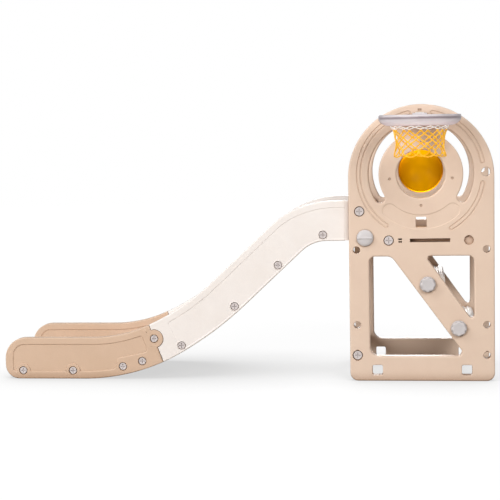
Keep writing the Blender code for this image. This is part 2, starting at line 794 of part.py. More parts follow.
def shallow_cuts(side):
    """Bands, badge recess, spare recess, hoop mark, screw seats and pilot holes of a panel."""
    badge = ring_band(
        (0.0, RING_Z),
        BADGE_INNER_RADIUS,
        BADGE_OUTER_RADIUS,
        270.0 - BADGE_HALF_ANGLE,
        270.0 + BADGE_HALF_ANGLE,
    )
    half = HOOK_MARK_WIDTH / 2
    mark_low = hook_slot_box()[3] + BADGE_DEPTH
    mark = rectangle(HOOP_X - half, HOOP_X + half, mark_low, mark_low + HOOK_MARK_HEIGHT)
    spare = circle((SPARE_RECESS_X, DECK_Z), SPARE_RECESS_RADIUS)
    cuts = [(loop, BAND_DEPTH) for loop in band_loops()]
    cuts += [(badge, BADGE_DEPTH), (mark, BAND_DEPTH), (spare, SPARE_RECESS_DEPTH)]
    sunk = PANEL_SCREW_HEAD + SCREW_RECESS + GAP
    for place in panel_screw_places():
        cuts.append((circle(place, PANEL_SCREW_HEAD_RADIUS + 2 * GAP), sunk))
    radius = PILOT_RADIUS if side < 0 else BUBBLE_SCREW_SHANK_RADIUS + GAP
    cuts += [(circle(place, radius), PILOT_DEPTH) for place in bubble_screw_places()]
    return cuts


def side_panel(name, side, mat):
    loops = [turned(side, loop) for loop in panel_loops()]
    mesh = plate_mesh(loops, 0.0, PANEL_THICKNESS, PANEL_EDGE_RADIUS)
    obj = add_object(name, mesh, mat)
    shallow = [(turned(side, loop), -CUT_OVER, depth) for loop, depth in shallow_cuts(side)]
    cut(obj, name + "_recess_cutter", shallow)
    ends = -CUT_OVER, PANEL_THICKNESS + CUT_OVER
    cut(obj, name + "_hole_cutter", [(turned(side, loop), *ends) for loop in through_loops()])
    place_on_side(obj, side)
    return obj


# Deck, cross bar and treads

def inner_span():
    return INNER_Y + GAP, TOWER_WIDTH - INNER_Y - GAP


def deck(mat):
    low, high = DECK_TOP_Z - DECK_THICKNESS, DECK_TOP_Z
    y0, y1 = inner_span()
    outline = rectangle(DECK_FRONT_X, DECK_BACK_X, low, high, DECK_CORNER_RADIUS)
    obj = add_object("deck", prisms_mesh([(outline, y0, y1)]), mat)
    tab = rectangle(
        DECK_TAB_FRONT_X + GAP,
        DECK_TAB_BACK_X - GAP,
        DECK_Z - DECK_TAB_THICKNESS / 2,
        DECK_Z + DECK_TAB_THICKNESS / 2,
        SLOT_CORNER_RADIUS,
    )
    join(obj, "deck_tabs", prisms_mesh([(tab, y0 - DECK_TAB_REACH, y1 + DECK_TAB_REACH)]))
    half = DECK_GROOVE_WIDTH / 2
    left, right = DECK_GROOVE_X - half, DECK_GROOVE_X + half
    groove = rectangle(left, right, high - DECK_GROOVE_DEPTH, high + CUT_OVER)
    bore = circle((DECK_SCREW_X, DECK_Z), PANEL_SCREW_SHANK_RADIUS + GAP)
    depth = SCREW_RECESS + PANEL_SCREW_HEAD + PANEL_SCREW_LENGTH + 2 * GAP
    cut(obj, "deck_groove_cutter", [(groove, y0 - CUT_OVER, y1 + CUT_OVER)])
    cut(obj, "deck_bore_cutter", [slab(side, bore, 0.0, depth) for side in (-1, 1)])
    return obj


def cross_bar(mat):
    y0, y1 = inner_span()
    outline = rectangle(
        -COLUMN_HOLE_X - CROSS_BAR_WIDTH / 2,
        -COLUMN_HOLE_X + CROSS_BAR_WIDTH / 2,
        COLUMN_FOOT_Z - CROSS_BAR_HEIGHT / 2,
        COLUMN_FOOT_Z + CROSS_BAR_HEIGHT / 2,
        CROSS_BAR_RADIUS,
    )
    obj = add_object("cross_bar", prisms_mesh([(outline, y0, y1)]), mat)
    bore = circle((-COLUMN_HOLE_X, COLUMN_FOOT_Z), PANEL_SCREW_SHANK_RADIUS + GAP)
    depth = SCREW_RECESS + PANEL_SCREW_HEAD + PANEL_SCREW_LENGTH + 2 * GAP
    cut(obj, "cross_bar_bore_cutter", [slab(side, bore, 0.0, depth) for side in (-1, 1)])
    return obj


def tread_outline(x, z):
    """Rounded tread section with grip ribs along its top."""
    back, front = x - TREAD_BACK, x + TREAD_FRONT
    low, high = z - TREAD_DROP, z + TREAD_RISE
    ribs = []
    run = (front - back - 2 * TREAD_RADIUS) / TREAD_RIB_COUNT
    for i in range(TREAD_RIB_COUNT):
        start = front - TREAD_RADIUS - run * i
        for share, lift in ((0.2, 0.0), (0.35, 1.0), (0.65, 1.0), (0.8, 0.0)):
            ribs.append((start - run * share, high + lift * TREAD_RIB_HEIGHT, 0.0))
    corners = [(back, low, TREAD_RADIUS), (front, low, TREAD_RADIUS), (front, high, TREAD_RADIUS)]
    return rounded(corners + ribs + [(back, high, TREAD_RADIUS)])


def tread(name, place, mat):
    y0, y1 = inner_span()
    obj = add_object(name, prisms_mesh([(tread_outline(*place), y0, y1)]), mat)
    stud = circle(place, TREAD_STUD_RADIUS, 2 * NUT_LOBES)
    ends = -TREAD_STUD_REACH, TOWER_WIDTH + TREAD_STUD_REACH
    join(obj, name + "_studs", prisms_mesh([(stud, *ends)]))
    return obj


def tread_nut_mesh():
    """Lobed cap nut; y = 0 on its seat, its closed end towards -Y."""
    bore = TREAD_STUD_RADIUS + SHAFT_CLEARANCE
    depth = TREAD_STUD_REACH + 2 * GAP
    edge = NUT_FLANGE_HEIGHT
    profile = [
        (bore, -depth, False),
        (bore, -GAP, False),
        (NUT_FLANGE_RADIUS, -GAP, False),
        (NUT_FLANGE_RADIUS, -NUT_FLANGE_HEIGHT, False),
        (NUT_RADIUS, -NUT_FLANGE_HEIGHT - GAP, True),
        (NUT_RADIUS, -NUT_HEIGHT + edge, True),
        (NUT_RADIUS - edge, -NUT_HEIGHT, True),
    ]
    return turned_mesh(profile, 2 * NUT_LOBES, NUT_LOBE_DEPTH)


# Slide

def rail_parts(under, over):
    """Outlines of the lower and the upper rail, split along the joint."""
    joint_low, joint_high = joint_line(under, over)
    under_line = under.offset(0.0)
    over_line = over.offset(0.0)
    foot_x = under.points[1][0] - FOOT_RUN
    corners = rounded([
        (over.points[1][0], RAIL_FOOT_HEIGHT, 0.0),
        (foot_x, RAIL_FOOT_HEIGHT, RAIL_FOOT_TOP_RADIUS),
        (foot_x, 0.0, RAIL_FOOT_LOW_RADIUS),
        (under.points[1][0], 0.0, 0.0),
    ])
    lower = corners[:-1]
    lower += before_x(under_line[1:], joint_low[0])
    lower += list(reversed(before_x(over_line[1:], joint_high[0])[1:]))
    upper = after_x(under_line, joint_low[0] + 2 * GAP)
    upper = upper[:-1] + [(HEAD_END_X, RAIL_HEAD_Z), (HEAD_END_X, RAIL_HEAD_Z + RAIL_HEAD_HEIGHT)]
    upper += list(reversed(after_x(over_line[:-1], joint_high[0] + 2 * GAP)))
    return lower, upper


def rail_bores(side, spots):
    """Head recesses and through bores for the screws of one rail."""
    sunk = RAIL_SETBACK + SCREW_RECESS + RAIL_SCREW_HEAD + GAP
    start = RAIL_SETBACK - CUT_OVER
    heads = []
    shanks = []
    for spot in spots:
        seat = circle(spot, RAIL_SCREW_HEAD_RADIUS + GAP)
        heads.append((turned(side, seat), start, sunk))
        shank = circle(spot, RAIL_SCREW_SHANK_RADIUS + GAP)
        shanks.append((turned(side, shank), start, RAIL_INNER_Y + CUT_OVER))
    return heads, shanks


def lower_screw_spots(under):
    return [edge_spot(under, run, LOWER_SCREW_LIFT) for run in LOWER_RAIL_SCREW_RUNS]


def upper_screw_spots(under):
    """Spots shared out between the joint and the head's flat end."""
    length = under.points[-1][0] - under.points[1][0] - JOINT_UNDER_RUN
    runs = [JOINT_UNDER_RUN + length * share for share in UPPER_RAIL_SCREW_SHARES]
    return [edge_spot(under, run, UPPER_SCREW_LIFT) for run in runs]


def rail_plate(name, side, outline, mat):
    mesh = plate_mesh([turned(side, outline)], RAIL_SETBACK, RAIL_INNER_Y, RAIL_EDGE_RADIUS)
    obj = add_object(name, mesh, mat)
    place_on_side(obj, side)
    return obj


def lower_rail(name, side, under, over, mat):
    outline, _ = rail_parts(under, over)
    obj = rail_plate(name, side, outline, mat)
    centre = joint_tab_centre(under, over)
    tab = turned(side, circle(centre, JOINT_TAB_RADIUS, 2 * HOLE_STEPS))
    tab_y = RAIL_SETBACK + JOINT_TAB_THICKNESS
    join(obj, name + "_tab", prisms_mesh([(tab, RAIL_SETBACK, tab_y)]))
    heads, shanks = rail_bores(side, lower_screw_spots(under) + [centre])
    cut(obj, name + "_head_cutter", heads)
    cut(obj, name + "_bore_cutter", shanks)
    return obj


def tongue_loop():
    """Side view of the tongue that runs between the side panels, with its lug for the lock."""
    low = RAIL_HEAD_Z + TONGUE_INSET
    high = RAIL_HEAD_Z + RAIL_HEAD_HEIGHT - TONGUE_INSET
    start = HEAD_END_X - TONGUE_RADIUS
    inside = -HALF_LENGTH + PANEL_EDGE_RADIUS
    lug = RAIL_HEAD_Z - TONGUE_LUG_DROP
    return rounded([
        (start, low, 0.0),
        (inside, low, 0.0),
        (inside, lug, 0.0),
        (TONGUE_END_X, lug, PANEL_EDGE_RADIUS),
        (TONGUE_END_X, high, TONGUE_RADIUS),
        (start, high, 0.0),
    ])


def lock_slot_loop():
    """Keyhole in the tongue that lets the lock bar through when it lies level."""
    length = LOCK_BAR_HALF_LENGTH + LOCK_SLOT_CLEARANCE
    half = LOCK_BAR_WIDTH / 2 + LOCK_SLOT_CLEARANCE
    return rectangle(LOCK_X - length, LOCK_X + length, LOCK_Z - half, LOCK_Z + half, half * END_ROUNDING)


def upper_rail(name, side, under, over, mat):
    _, outline = rail_parts(under, over)
    obj = rail_plate(name, side, outline, mat)
    tongue = (turned(side, tongue_loop()), INNER_Y + GAP, RAIL_INNER_Y)
    join(obj, name + "_tongue", prisms_mesh([tongue]))
    centre = joint_tab_centre(under, over)
    start = RAIL_SETBACK - CUT_OVER
    notch = turned(side, circle(centre, JOINT_TAB_RADIUS + GAP, 2 * HOLE_STEPS))
    notch_y = RAIL_SETBACK + JOINT_TAB_THICKNESS + GAP
    cut(obj, name + "_notch_cutter", [(notch, start, notch_y)])
    heads, shanks = rail_bores(side, upper_screw_spots(under))
    for loop in (
        circle(centre, RAIL_SCREW_SHANK_RADIUS + GAP),
        circle((TONGUE_SCREW_X, TONGUE_SCREW_Z), PANEL_SCREW_SHANK_RADIUS + GAP),
        lock_slot_loop(),
    ):
        shanks.append((turned(side, loop), start, RAIL_INNER_Y + CUT_OVER))
    cut(obj, name + "_head_cutter", heads)
    cut(obj, name + "_bore_cutter", shanks)
    return obj


def bed_lines(under):
    return under.offset(BED_LIFT), under.offset(BED_LIFT + BED_THICKNESS)


def bed_joint_x(under, over):
    """x where the joint between the two beds crosses the under and upper side of the bed."""
    low, high = joint_line(under, over)
    lean = (high[0] - low[0]) / (high[1] - low[1])
    places = []
    for line in bed_lines(under):
        x = low[0]
        for _ in range(4):
            x = low[0] + lean * (at_x(line, x)[1] - low[1])
        places.append(x)
    return places


def bed_bores(spots):
    depth = RAIL_SETBACK + SCREW_RECESS + RAIL_SCREW_HEAD + RAIL_SCREW_LENGTH + 2 * GAP
    bores = []
    for side in (-1, 1):
        for spot in spots:
            shank = circle(spot, RAIL_SCREW_SHANK_RADIUS + GAP)
            bores.append(slab(side, shank, RAIL_SETBACK, depth))
    return bores


def bed_span():
    return RAIL_INNER_Y + GAP, TOWER_WIDTH - RAIL_INNER_Y - GAP


def lower_bed(under, over, mat):
    low_line, high_line = bed_lines(under)
    low_x, high_x = bed_joint_x(under, over)
    foot_x = under.points[1][0] - FOOT_RUN + BED_FOOT_SETBACK
    front = rounded([
        (high_line[1][0], high_line[1][1], 0.0),
        (foot_x, high_line[0][1], BED_NOSE_RADIUS),
        (foot_x, low_line[0][1], BED_NOSE_LOW_RADIUS),
        (low_line[1][0], low_line[1][1], 0.0),
    ])
    outline = front[:-1] + before_x(low_line[1:], low_x)
    outline += list(reversed(before_x(high_line[1:], high_x)[1:]))
    y0, y1 = bed_span()
    obj = add_object("lower_bed", prisms_mesh([(outline, y0, y1)]), mat)
    cut(obj, "lower_bed_bore_cutter", bed_bores(lower_screw_spots(under)))
    return obj


def upper_bed(under, over, mat):
    low_line, high_line = bed_lines(under)
    low_x, high_x = bed_joint_x(under, over)
    low_z = RAIL_HEAD_Z + BED_LIFT
    high_z = low_z + BED_THICKNESS
    lip_x = DECK_FRONT_X + LIP_REACH
    lip_z = DECK_TOP_Z + GAP
    rib_back = DECK_GROOVE_X - HOOK_RIB_WIDTH / 2
    rib_front = DECK_GROOVE_X + HOOK_RIB_WIDTH / 2
    outline = after_x(low_line, low_x + 2 * GAP)[:-1]
    outline += rounded([
        (HEAD_END_X, low_z, 0.0),
        (DECK_FRONT_X - 2 * PANEL_EDGE_RADIUS, low_z, SLOT_CORNER_RADIUS),
        (DECK_FRONT_X - PANEL_EDGE_RADIUS, lip_z, 0.0),
        (rib_back, lip_z, 0.0),
        (rib_back, lip_z - HOOK_RIB_DROP, 0.0),
        (rib_front, lip_z - HOOK_RIB_DROP, 0.0),
        (rib_front, lip_z, 0.0),
        (lip_x, lip_z, SLOT_CORNER_RADIUS),
        (lip_x, high_z, LIP_RADIUS),
        (HEAD_END_X, high_z, 0.0),
    ])
    outline += list(reversed(after_x(high_line, high_x + 2 * GAP)[:-1]))
    y0, y1 = bed_span()
    obj = add_object("upper_bed", prisms_mesh([(outline, y0, y1)]), mat)
    inside = -HALF_LENGTH + PANEL_EDGE_RADIUS
    side_cut = rectangle(inside, lip_x + CUT_OVER, low_z - CUT_OVER, high_z + CUT_OVER)
    waist = [slab(side, side_cut, INNER_Y, INNER_Y + NECK_INSET) for side in (-1, 1)]
    cut(obj, "upper_bed_waist_cutter", waist)
    cut(obj, "upper_bed_bore_cutter", bed_bores(upper_screw_spots(under)))
    return obj


# Screws and lock knobs

def screw_mesh(head_radius, head, shank_radius, length):
    """Cross-slotted screw; y = 0 on the outer face of its head, its shank towards +Y."""
    profile = [
        (head_radius, 0.0, False),
        (head_radius, head, False),
        (shank_radius, head, False),
        (shank_radius, head + length, False),
    ]
    obj = add_object("screw_blank", turned_mesh(profile, HOLE_STEPS), None)
    reach = head_radius * SCREW_SLOT_SHARE
    half = SCREW_SLOT_WIDTH / 2
    plus = [
        (reach, -half), (reach, half), (half, half), (half, reach),
        (-half, reach), (-half, half), (-reach, half), (-reach, -half),
        (-half, -half), (-half, -reach), (half, -reach), (half, -half),
    ]
    slot = cutter("screw_slot_cutter", prisms_mesh([(plus, -CUT_OVER, SCREW_SLOT_DEPTH)]))
    boolean(obj, "DIFFERENCE", slot)
    mesh = evaluated_mesh(obj)
    bpy.data.objects.remove(obj)
    bpy.data.objects.remove(slot)
    smooth(mesh)
    return mesh


def lock_knob(name, side, mat):
    """Domed knob with a finger ridge, and the shaft that passes through panel and tongue."""
    neck_end = LOCK_BAR_Y - GAP
    end_y = LOCK_BAR_Y + LOCK_BAR_THICKNESS
    profile = [(KNOB_RADIUS * share, -KNOB_HEIGHT * rise, False) for share, rise in KNOB_DOME]
    profile += [
        (KNOB_RADIUS, -GAP, False),
        (LOCK_SHAFT_RADIUS, -GAP, False),
        (LOCK_SHAFT_RADIUS, INNER_Y, False),
        (LOCK_NECK_RADIUS, INNER_Y, False),
        (LOCK_NECK_RADIUS, neck_end, False),
        (LOCK_BAR_BORE_RADIUS, neck_end, False),
        (LOCK_BAR_BORE_RADIUS, end_y, False),
    ]
    obj = add_object(name, turned_mesh(profile, KNOB_STEPS), mat)
    half = KNOB_RIDGE_WIDTH / 2
    ridge = rectangle(-KNOB_RIDGE_REACH, KNOB_RIDGE_REACH, -half, half, half * END_ROUNDING)
    root_y = -KNOB_HEIGHT * KNOB_DOME[-1][1]
    blade = cutter(name + "_ridge", prisms_mesh([(ridge, -KNOB_RIDGE_HEIGHT, root_y)]))
    boolean(obj, "UNION", blade)
    place_on_side(obj, side, LOCK_X, LOCK_Z)
    return obj


def lock_bar(name, side, mat):
    """Bar on the shaft's end that stands upright behind the tongue while the slide is locked."""
    y0, y1 = LOCK_BAR_Y, LOCK_BAR_Y + LOCK_BAR_THICKNESS
    outline = rectangle(
        -LOCK_BAR_WIDTH / 2,
        LOCK_BAR_WIDTH / 2,
        -LOCK_BAR_HALF_LENGTH,
        LOCK_BAR_HALF_LENGTH,
        LOCK_BAR_WIDTH / 2 * END_ROUNDING,
    )
    obj = add_object(name, prisms_mesh([(outline, y0, y1)]), mat)
    bore = circle((0.0, 0.0), LOCK_BAR_BORE_RADIUS + GAP, KNOB_STEPS)
    tool = cutter(name + "_bore_cutter", prisms_mesh([(bore, y0 - CUT_OVER, y1 + CUT_OVER)]))
    boolean(obj, "DIFFERENCE", tool)
    place_on_side(obj, side, LOCK_X, LOCK_Z)
    return obj


# Hoop and net

def upright(mesh, x, y):
    """Stand a body turned about +Y up on end at (x, y), its +Y becoming +Z."""
    mesh.transform(Matrix.Translation((x, y, 0.0)) @ Matrix.Rotation(math.pi / 2, 4, "X"))
    return mesh


def hoop_profile():
    """Dished rim section as (radius, height), round its outer skin and back along its inner skin."""
    low = HOOP_TOP_Z - HOOP_DEPTH
    floor = HOOP_RADIUS - HOOP_FLOOR_INSET
    outer = [(HOOP_RADIUS - inset, HOOP_TOP_Z - drop) for inset, drop in HOOP_SECTION]
    rise = (HOOP_DEPTH - HOOP_WALL) / HOOP_DEPTH
    inner = [
        (HOOP_RADIUS - inset - HOOP_WALL, HOOP_TOP_Z - drop * rise)
        for inset, drop in reversed(HOOP_SECTION)
    ]
    flange = [(floor, low), (HOOP_MOUTH_RADIUS, low), (HOOP_MOUTH_RADIUS, low + HOOP_WALL)]
    return outer + flange + [(floor, low + HOOP_WALL)] + inner


def hoop_ring(mat):
    profile = [(radius, z, False) for radius, z in hoop_profile()]
    mesh = upright(turned_mesh(profile, HOOP_STEPS, closed=True), HOOP_X, HOOP_Y)
    obj = add_object("hoop_ring", mesh, mat)
    half = HOOP_BLOCK_WIDTH / 2
    back_y = -2 * GAP - HOOK_PLATE_THICKNESS
    front_y = -HOOP_STANDOFF - HOOP_BLOCK_REACH
    high = HOOP_TOP_Z - HOOP_BLOCK_DROP
    block = rectangle(HOOP_X - half, HOOP_X + half, high - HOOP_BLOCK_HEIGHT, high)
    join(obj, "hoop_block", prisms_mesh([(block, front_y, back_y)]))
    boss = circle((HOOP_X, HOOP_SCREW_Z + HOOP_BOSS_LIFT), HOOP_BOSS_RADIUS)
    front = HOOP_Y - HOOP_RADIUS
    join(obj, "hoop_boss", prisms_mesh([(boss, front - HOOP_BOSS_HEIGHT, front + HOOP_WALL * 0.8)]))
    bore = circle((HOOP_X, HOOP_SCREW_Z), HOOP_SCREW_RADIUS + GAP)
    cut(obj, "hoop_bore_cutter", [(bore, front_y - CUT_OVER, 0.0)])
    return obj


def hoop_hook(mat):
    """Plate against the panel, with the tab through the slot and the lip behind the panel."""
    half = HOOK_PLATE_WIDTH / 2
    low = HOOK_TOP_Z - HOOK_PLATE_HEIGHT
    plate = rectangle(HOOP_X - half, HOOP_X + half, low, HOOK_TOP_Z, SLOT_CORNER_RADIUS)
    obj = add_object("hoop_hook", prisms_mesh([(plate, -GAP - HOOK_PLATE_THICKNESS, -GAP)]), mat)
    left, right = HOOP_X - HOOK_TAB_WIDTH / 2, HOOP_X + HOOK_TAB_WIDTH / 2
    tab_low = HOOK_TOP_Z - HOOK_TAB_HEIGHT
    lip_y = INNER_Y + GAP
    tab_end = lip_y + HOOK_LIP_THICKNESS / 2
    tab = rectangle(left, right, tab_low, HOOK_TOP_Z - GAP)
    lip = rectangle(left, right, tab_low - HOOK_LIP_DROP, HOOK_TOP_Z - 2 * GAP)
    join(obj, "hook_tab", prisms_mesh([(tab, -HOOK_PLATE_THICKNESS / 2, tab_end)]))
    join(obj, "hook_lip", prisms_mesh([(lip, lip_y, lip_y + HOOK_LIP_THICKNESS)]))
    bore = circle((HOOP_X, HOOP_SCREW_Z), HOOP_SCREW_RADIUS + GAP)
    cut(obj, "hook_bore_cutter", [(bore, -HOOK_PLATE_THICKNESS - CUT_OVER, 0.0)])
    return obj


def hoop_screw(mat):
    length = HOOP_STANDOFF + HOOP_BLOCK_REACH - HOOK_PLATE_THICKNESS / 2
    mesh = screw_mesh(HOOP_SCREW_HEAD_RADIUS, HOOP_SCREW_HEAD, HOOP_SCREW_RADIUS, length)
    obj = add_object("hoop_screw", mesh, mat)
    head_y = -HOOP_STANDOFF - HOOP_BLOCK_REACH - HOOP_SCREW_HEAD - GAP
    obj.location = (HOOP_X, head_y, HOOP_SCREW_Z)
    return obj


def net_radius(drop):
    """Radius of the net at a depth below its top row: waisted, and opening again at its hem."""
    waist_drop = NET_ROW_DROPS[1]
    hem_drop = NET_ROW_DROPS[-1]
    if drop <= waist_drop:
        share = math.sin(math.pi / 2 * drop / waist_drop)
        return NET_TOP_RADIUS + (NET_WAIST_RADIUS - NET_TOP_RADIUS) * share
    share = (drop - waist_drop) / (hem_drop - waist_drop)
    return NET_WAIST_RADIUS + (NET_HEM_RADIUS - NET_WAIST_RADIUS) * share ** 2


def hoop_net(mat):
    """Knotted net as one lattice: four rows of knots under the top row, every other row offset."""
    shape = bmesh.new()
    rows = []
    top_z = HOOP_TOP_Z - NET_TOP_DROP
    for row, drop in enumerate((0.0,) + NET_ROW_DROPS):
        radius = net_radius(drop)
        knots = []
        for i in range(NET_LOOPS):
            turn = NET_TURN + 360.0 * (i + 0.5 * (row % 2)) / NET_LOOPS
            x, y = polar(radius, turn - 90.0, (HOOP_X, HOOP_Y))
            knots.append(shape.verts.new((x, y, top_z - drop)))
        rows.append(knots)
    for row in range(len(rows) - 2):
        ahead = row % 2
        for i in range(NET_LOOPS):
            left = rows[row + 1][(i - 1 + ahead) % NET_LOOPS]
            right = rows[row + 1][(i + ahead) % NET_LOOPS]
            shape.faces.new((rows[row][i], left, rows[row + 2][i], right))
    mesh = bpy.data.meshes.new("net")
    shape.to_mesh(mesh)
    shape.free()
    obj = add_object("hoop_net", mesh, mat)
    cords = obj.modifiers.new("cords", "WIREFRAME")
    cords.thickness = NET_CORD
    cords.use_boundary = True
    cords.use_replace = True
    cords.use_even_offset = False
    return obj


def net_tie(mat):
    """White cord that zigzags from the hoop's underside down to the net's top knots."""
    cord = bpy.data.curves.new("net_tie", "CURVE")
    cord.dimensions = "3D"
    cord.bevel_depth = TIE_RADIUS
    cord.bevel_resolution = 1
    spline = cord.splines.new("POLY")
    per_loop = 4
    count = per_loop * NET_LOOPS
    spline.points.add(count - 1)
    low_z = HOOP_TOP_Z - NET_TOP_DROP + NET_CORD / 2 + TIE_RADIUS + GAP
    high_z = HOOP_TOP_Z - HOOP_DEPTH - TIE_RADIUS - GAP
    for i, point in enumerate(spline.points):
        share = abs((i % per_loop) / per_loop * 2 - 1)
        radius = TIE_PEAK_RADIUS + (NET_TOP_RADIUS - TIE_PEAK_RADIUS) * share
        turn = NET_TURN + 360.0 * i / count
        x, y = polar(radius, turn - 90.0, (HOOP_X, HOOP_Y))
        point.co = (x, y, high_z + (low_z - high_z) * share, 1.0)
    spline.use_cyclic_u = True
    obj = bpy.data.objects.new("net_tie", cord)
    bpy.context.scene.collection.objects.link(obj)
    cord.materials.append(mat)
    obj.parent = root
    return obj


# Bubble window

def bubble_window(mat):
    """Clear dome bulging out through the far panel's porthole, with its flange on the outer face."""
    mouth = PORTHOLE_RADIUS - GAP
    sphere = (mouth ** 2 + BUBBLE_DEPTH ** 2) / (2 * BUBBLE_DEPTH)
    sweep = math.asin(mouth / sphere)
    outside = []
    inside = []
    for i in range(DOME_STEPS + 1):
        turn = sweep * (BUBBLE_CROWN_SHARE + (1 - BUBBLE_CROWN_SHARE) * i / DOME_STEPS)
        rise = BUBBLE_FLANGE + sphere * (math.cos(turn) - math.cos(sweep))
        thin = (sphere - BUBBLE_WALL) * math.sin(turn)
        outside.append((sphere * math.sin(turn), rise, False))
        inside.append((thin, rise - BUBBLE_WALL, False))
    profile = inside[:-1] + [
        (mouth - BUBBLE_WALL, -BUBBLE_PLUG_DEPTH, False),
        (mouth, -BUBBLE_PLUG_DEPTH, False),
        (mouth, GAP, False),
        (BUBBLE_FLANGE_RADIUS, GAP, False),
        (BUBBLE_FLANGE_RADIUS, BUBBLE_FLANGE, False),
    ] + list(reversed(outside))
    mesh = turned_mesh(profile, PORTHOLE_STEPS)
    mesh.transform(Matrix.Translation((0.0, TOWER_WIDTH, RING_Z)))
    obj = add_object("bubble_window", mesh, mat)
    y0, y1 = TOWER_WIDTH - CUT_OVER, TOWER_WIDTH + BUBBLE_FLANGE + CUT_OVER
    holes = [
        (circle(place, BUBBLE_SCREW_SHANK_RADIUS + GAP), y0, y1)
        for place in bubble_screw_places()
    ]
    cut(obj, "bubble_bore_cutter", holes)
    return obj


# Assembly

def build_tower(beige, grey):
    for side, label in ((-1, "near"), (1, "far")):
        side_panel("side_panel_" + label, side, beige)
    deck(beige)
    cross_bar(beige)
    for label, place in zip(("upper", "lower"), tread_places()):
        tread("tread_" + label, place, grey)
    nut = tread_nut_mesh()
    panel_screw = screw_mesh(
        PANEL_SCREW_HEAD_RADIUS, PANEL_SCREW_HEAD, PANEL_SCREW_SHANK_RADIUS, PANEL_SCREW_LENGTH
    )
    reach = RAIL_INNER_Y - SCREW_RECESS - PANEL_SCREW_HEAD - TONGUE_SCREW_SHORT
    tongue_screw = screw_mesh(
        PANEL_SCREW_HEAD_RADIUS, PANEL_SCREW_HEAD, PANEL_SCREW_SHANK_RADIUS, reach
    )
    names = ("tongue_screw", "deck_screw", "cross_bar_screw")
    for side, label in ((-1, "near"), (1, "far")):
        for which, (x, z) in zip(("upper", "lower"), tread_places()):
            piece = add_object("tread_nut_" + which + "_" + label, nut, grey)
            place_on_side(piece, side, x, z)
        for name, (x, z) in zip(names, panel_screw_places()):
            mesh = tongue_screw if name == "tongue_screw" else panel_screw
            piece = add_object(name + "_" + label, mesh, grey)
            place_on_side(piece, side, x, z, SCREW_RECESS)
        lock_knob("lock_knob_" + label, side, grey)
        lock_bar("lock_bar_" + label, side, grey)


def build_slide(beige, white, grey):
    under, over = slide_edges()
    lower_bed(under, over, beige)
    upper_bed(under, over, white)
    long_screw = screw_mesh(
        RAIL_SCREW_HEAD_RADIUS, RAIL_SCREW_HEAD, RAIL_SCREW_SHANK_RADIUS, RAIL_SCREW_LENGTH
    )
    reach = RAIL_THICKNESS - RAIL_SCREW_HEAD - 2 * SCREW_RECESS
    tab_screw = screw_mesh(
        RAIL_SCREW_HEAD_RADIUS, RAIL_SCREW_HEAD, RAIL_SCREW_SHANK_RADIUS, reach
    )
    head_y = RAIL_SETBACK + SCREW_RECESS
    for side, label in ((-1, "near"), (1, "far")):
        lower_rail("lower_rail_" + label, side, under, over, beige)
        upper_rail("upper_rail_" + label, side, under, over, white)
        for prefix, spots in (
            ("lower_rail_screw_", lower_screw_spots(under)),
            ("upper_rail_screw_", upper_screw_spots(under)),
        ):
            for number, (x, z) in enumerate(spots, 1):
                piece = add_object(prefix + label + "_" + str(number), long_screw, grey)
                place_on_side(piece, side, x, z, head_y)
        piece = add_object("joint_screw_" + label, tab_screw, grey)
        x, z = joint_tab_centre(under, over)
        place_on_side(piece, side, x, z, head_y)
    return under.points[1][0] - FOOT_RUN


def build_hoop(clear, white, yellow, grey):
    hoop_ring(clear)
    hoop_hook(clear)
    hoop_screw(grey)
    net_tie(white)
    hoop_net(yellow)


def build_window(amber, grey):
    bubble_window(amber)
    small = screw_mesh(
        BUBBLE_SCREW_HEAD_RADIUS, BUBBLE_SCREW_HEAD, BUBBLE_SCREW_SHANK_RADIUS, PILOT_DEPTH
    )
    head_y = -BUBBLE_FLANGE - BUBBLE_SCREW_HEAD - GAP
    for number, (x, z) in enumerate(bubble_screw_places(), 1):
        piece = add_object("window_screw_" + str(number), small, grey)
        place_on_side(piece, 1, x, z, head_y)


def main():
    global root
    clear_scene()
    root = bpy.data.objects.new("tower_frame", None)
    bpy.context.scene.collection.objects.link(root)
    beige = material("beige_plastic", 232, 208, 188, 0.45)
    white = material("white_plastic", 246, 240, 234, 0.45)
    grey = material("grey_plastic", 205, 203, 206, 0.35)
    clear = material("clear_plastic", 214, 214, 224, 0.15, 0.6)
    amber = material("amber_plastic", 226, 158, 0, 0.2, 0.8)
    yellow = material("yellow_cord", 255, 190, 0, 0.7)
    cord = material("white_cord", 248, 244, 238, 0.7)
    build_tower(beige, grey)
    foot_x = build_slide(beige, white, grey)
    build_hoop(clear, cord, yellow, grey)
    build_window(amber, grey)
    front_y = HOOP_Y - HOOP_RADIUS - HOOP_BOSS_HEIGHT
    back_y = TOWER_WIDTH + BUBBLE_FLANGE + BUBBLE_DEPTH
    root.location = (-(foot_x + HALF_LENGTH) / 2, -(front_y + back_y) / 2, 0.0)


main()
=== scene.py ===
"""Looks of the toddler climb-and-slide, laid over its fixed frame.

Shapes are modelled in the tower frame: x = 0 on the tower's middle, y = 0 on the hoop panel's
outer face, z = 0 on the floor. TOWER_X and TOWER_Y carry them to the world.
"""

import math

import bmesh
import bpy
from mathutils import Matrix, Vector


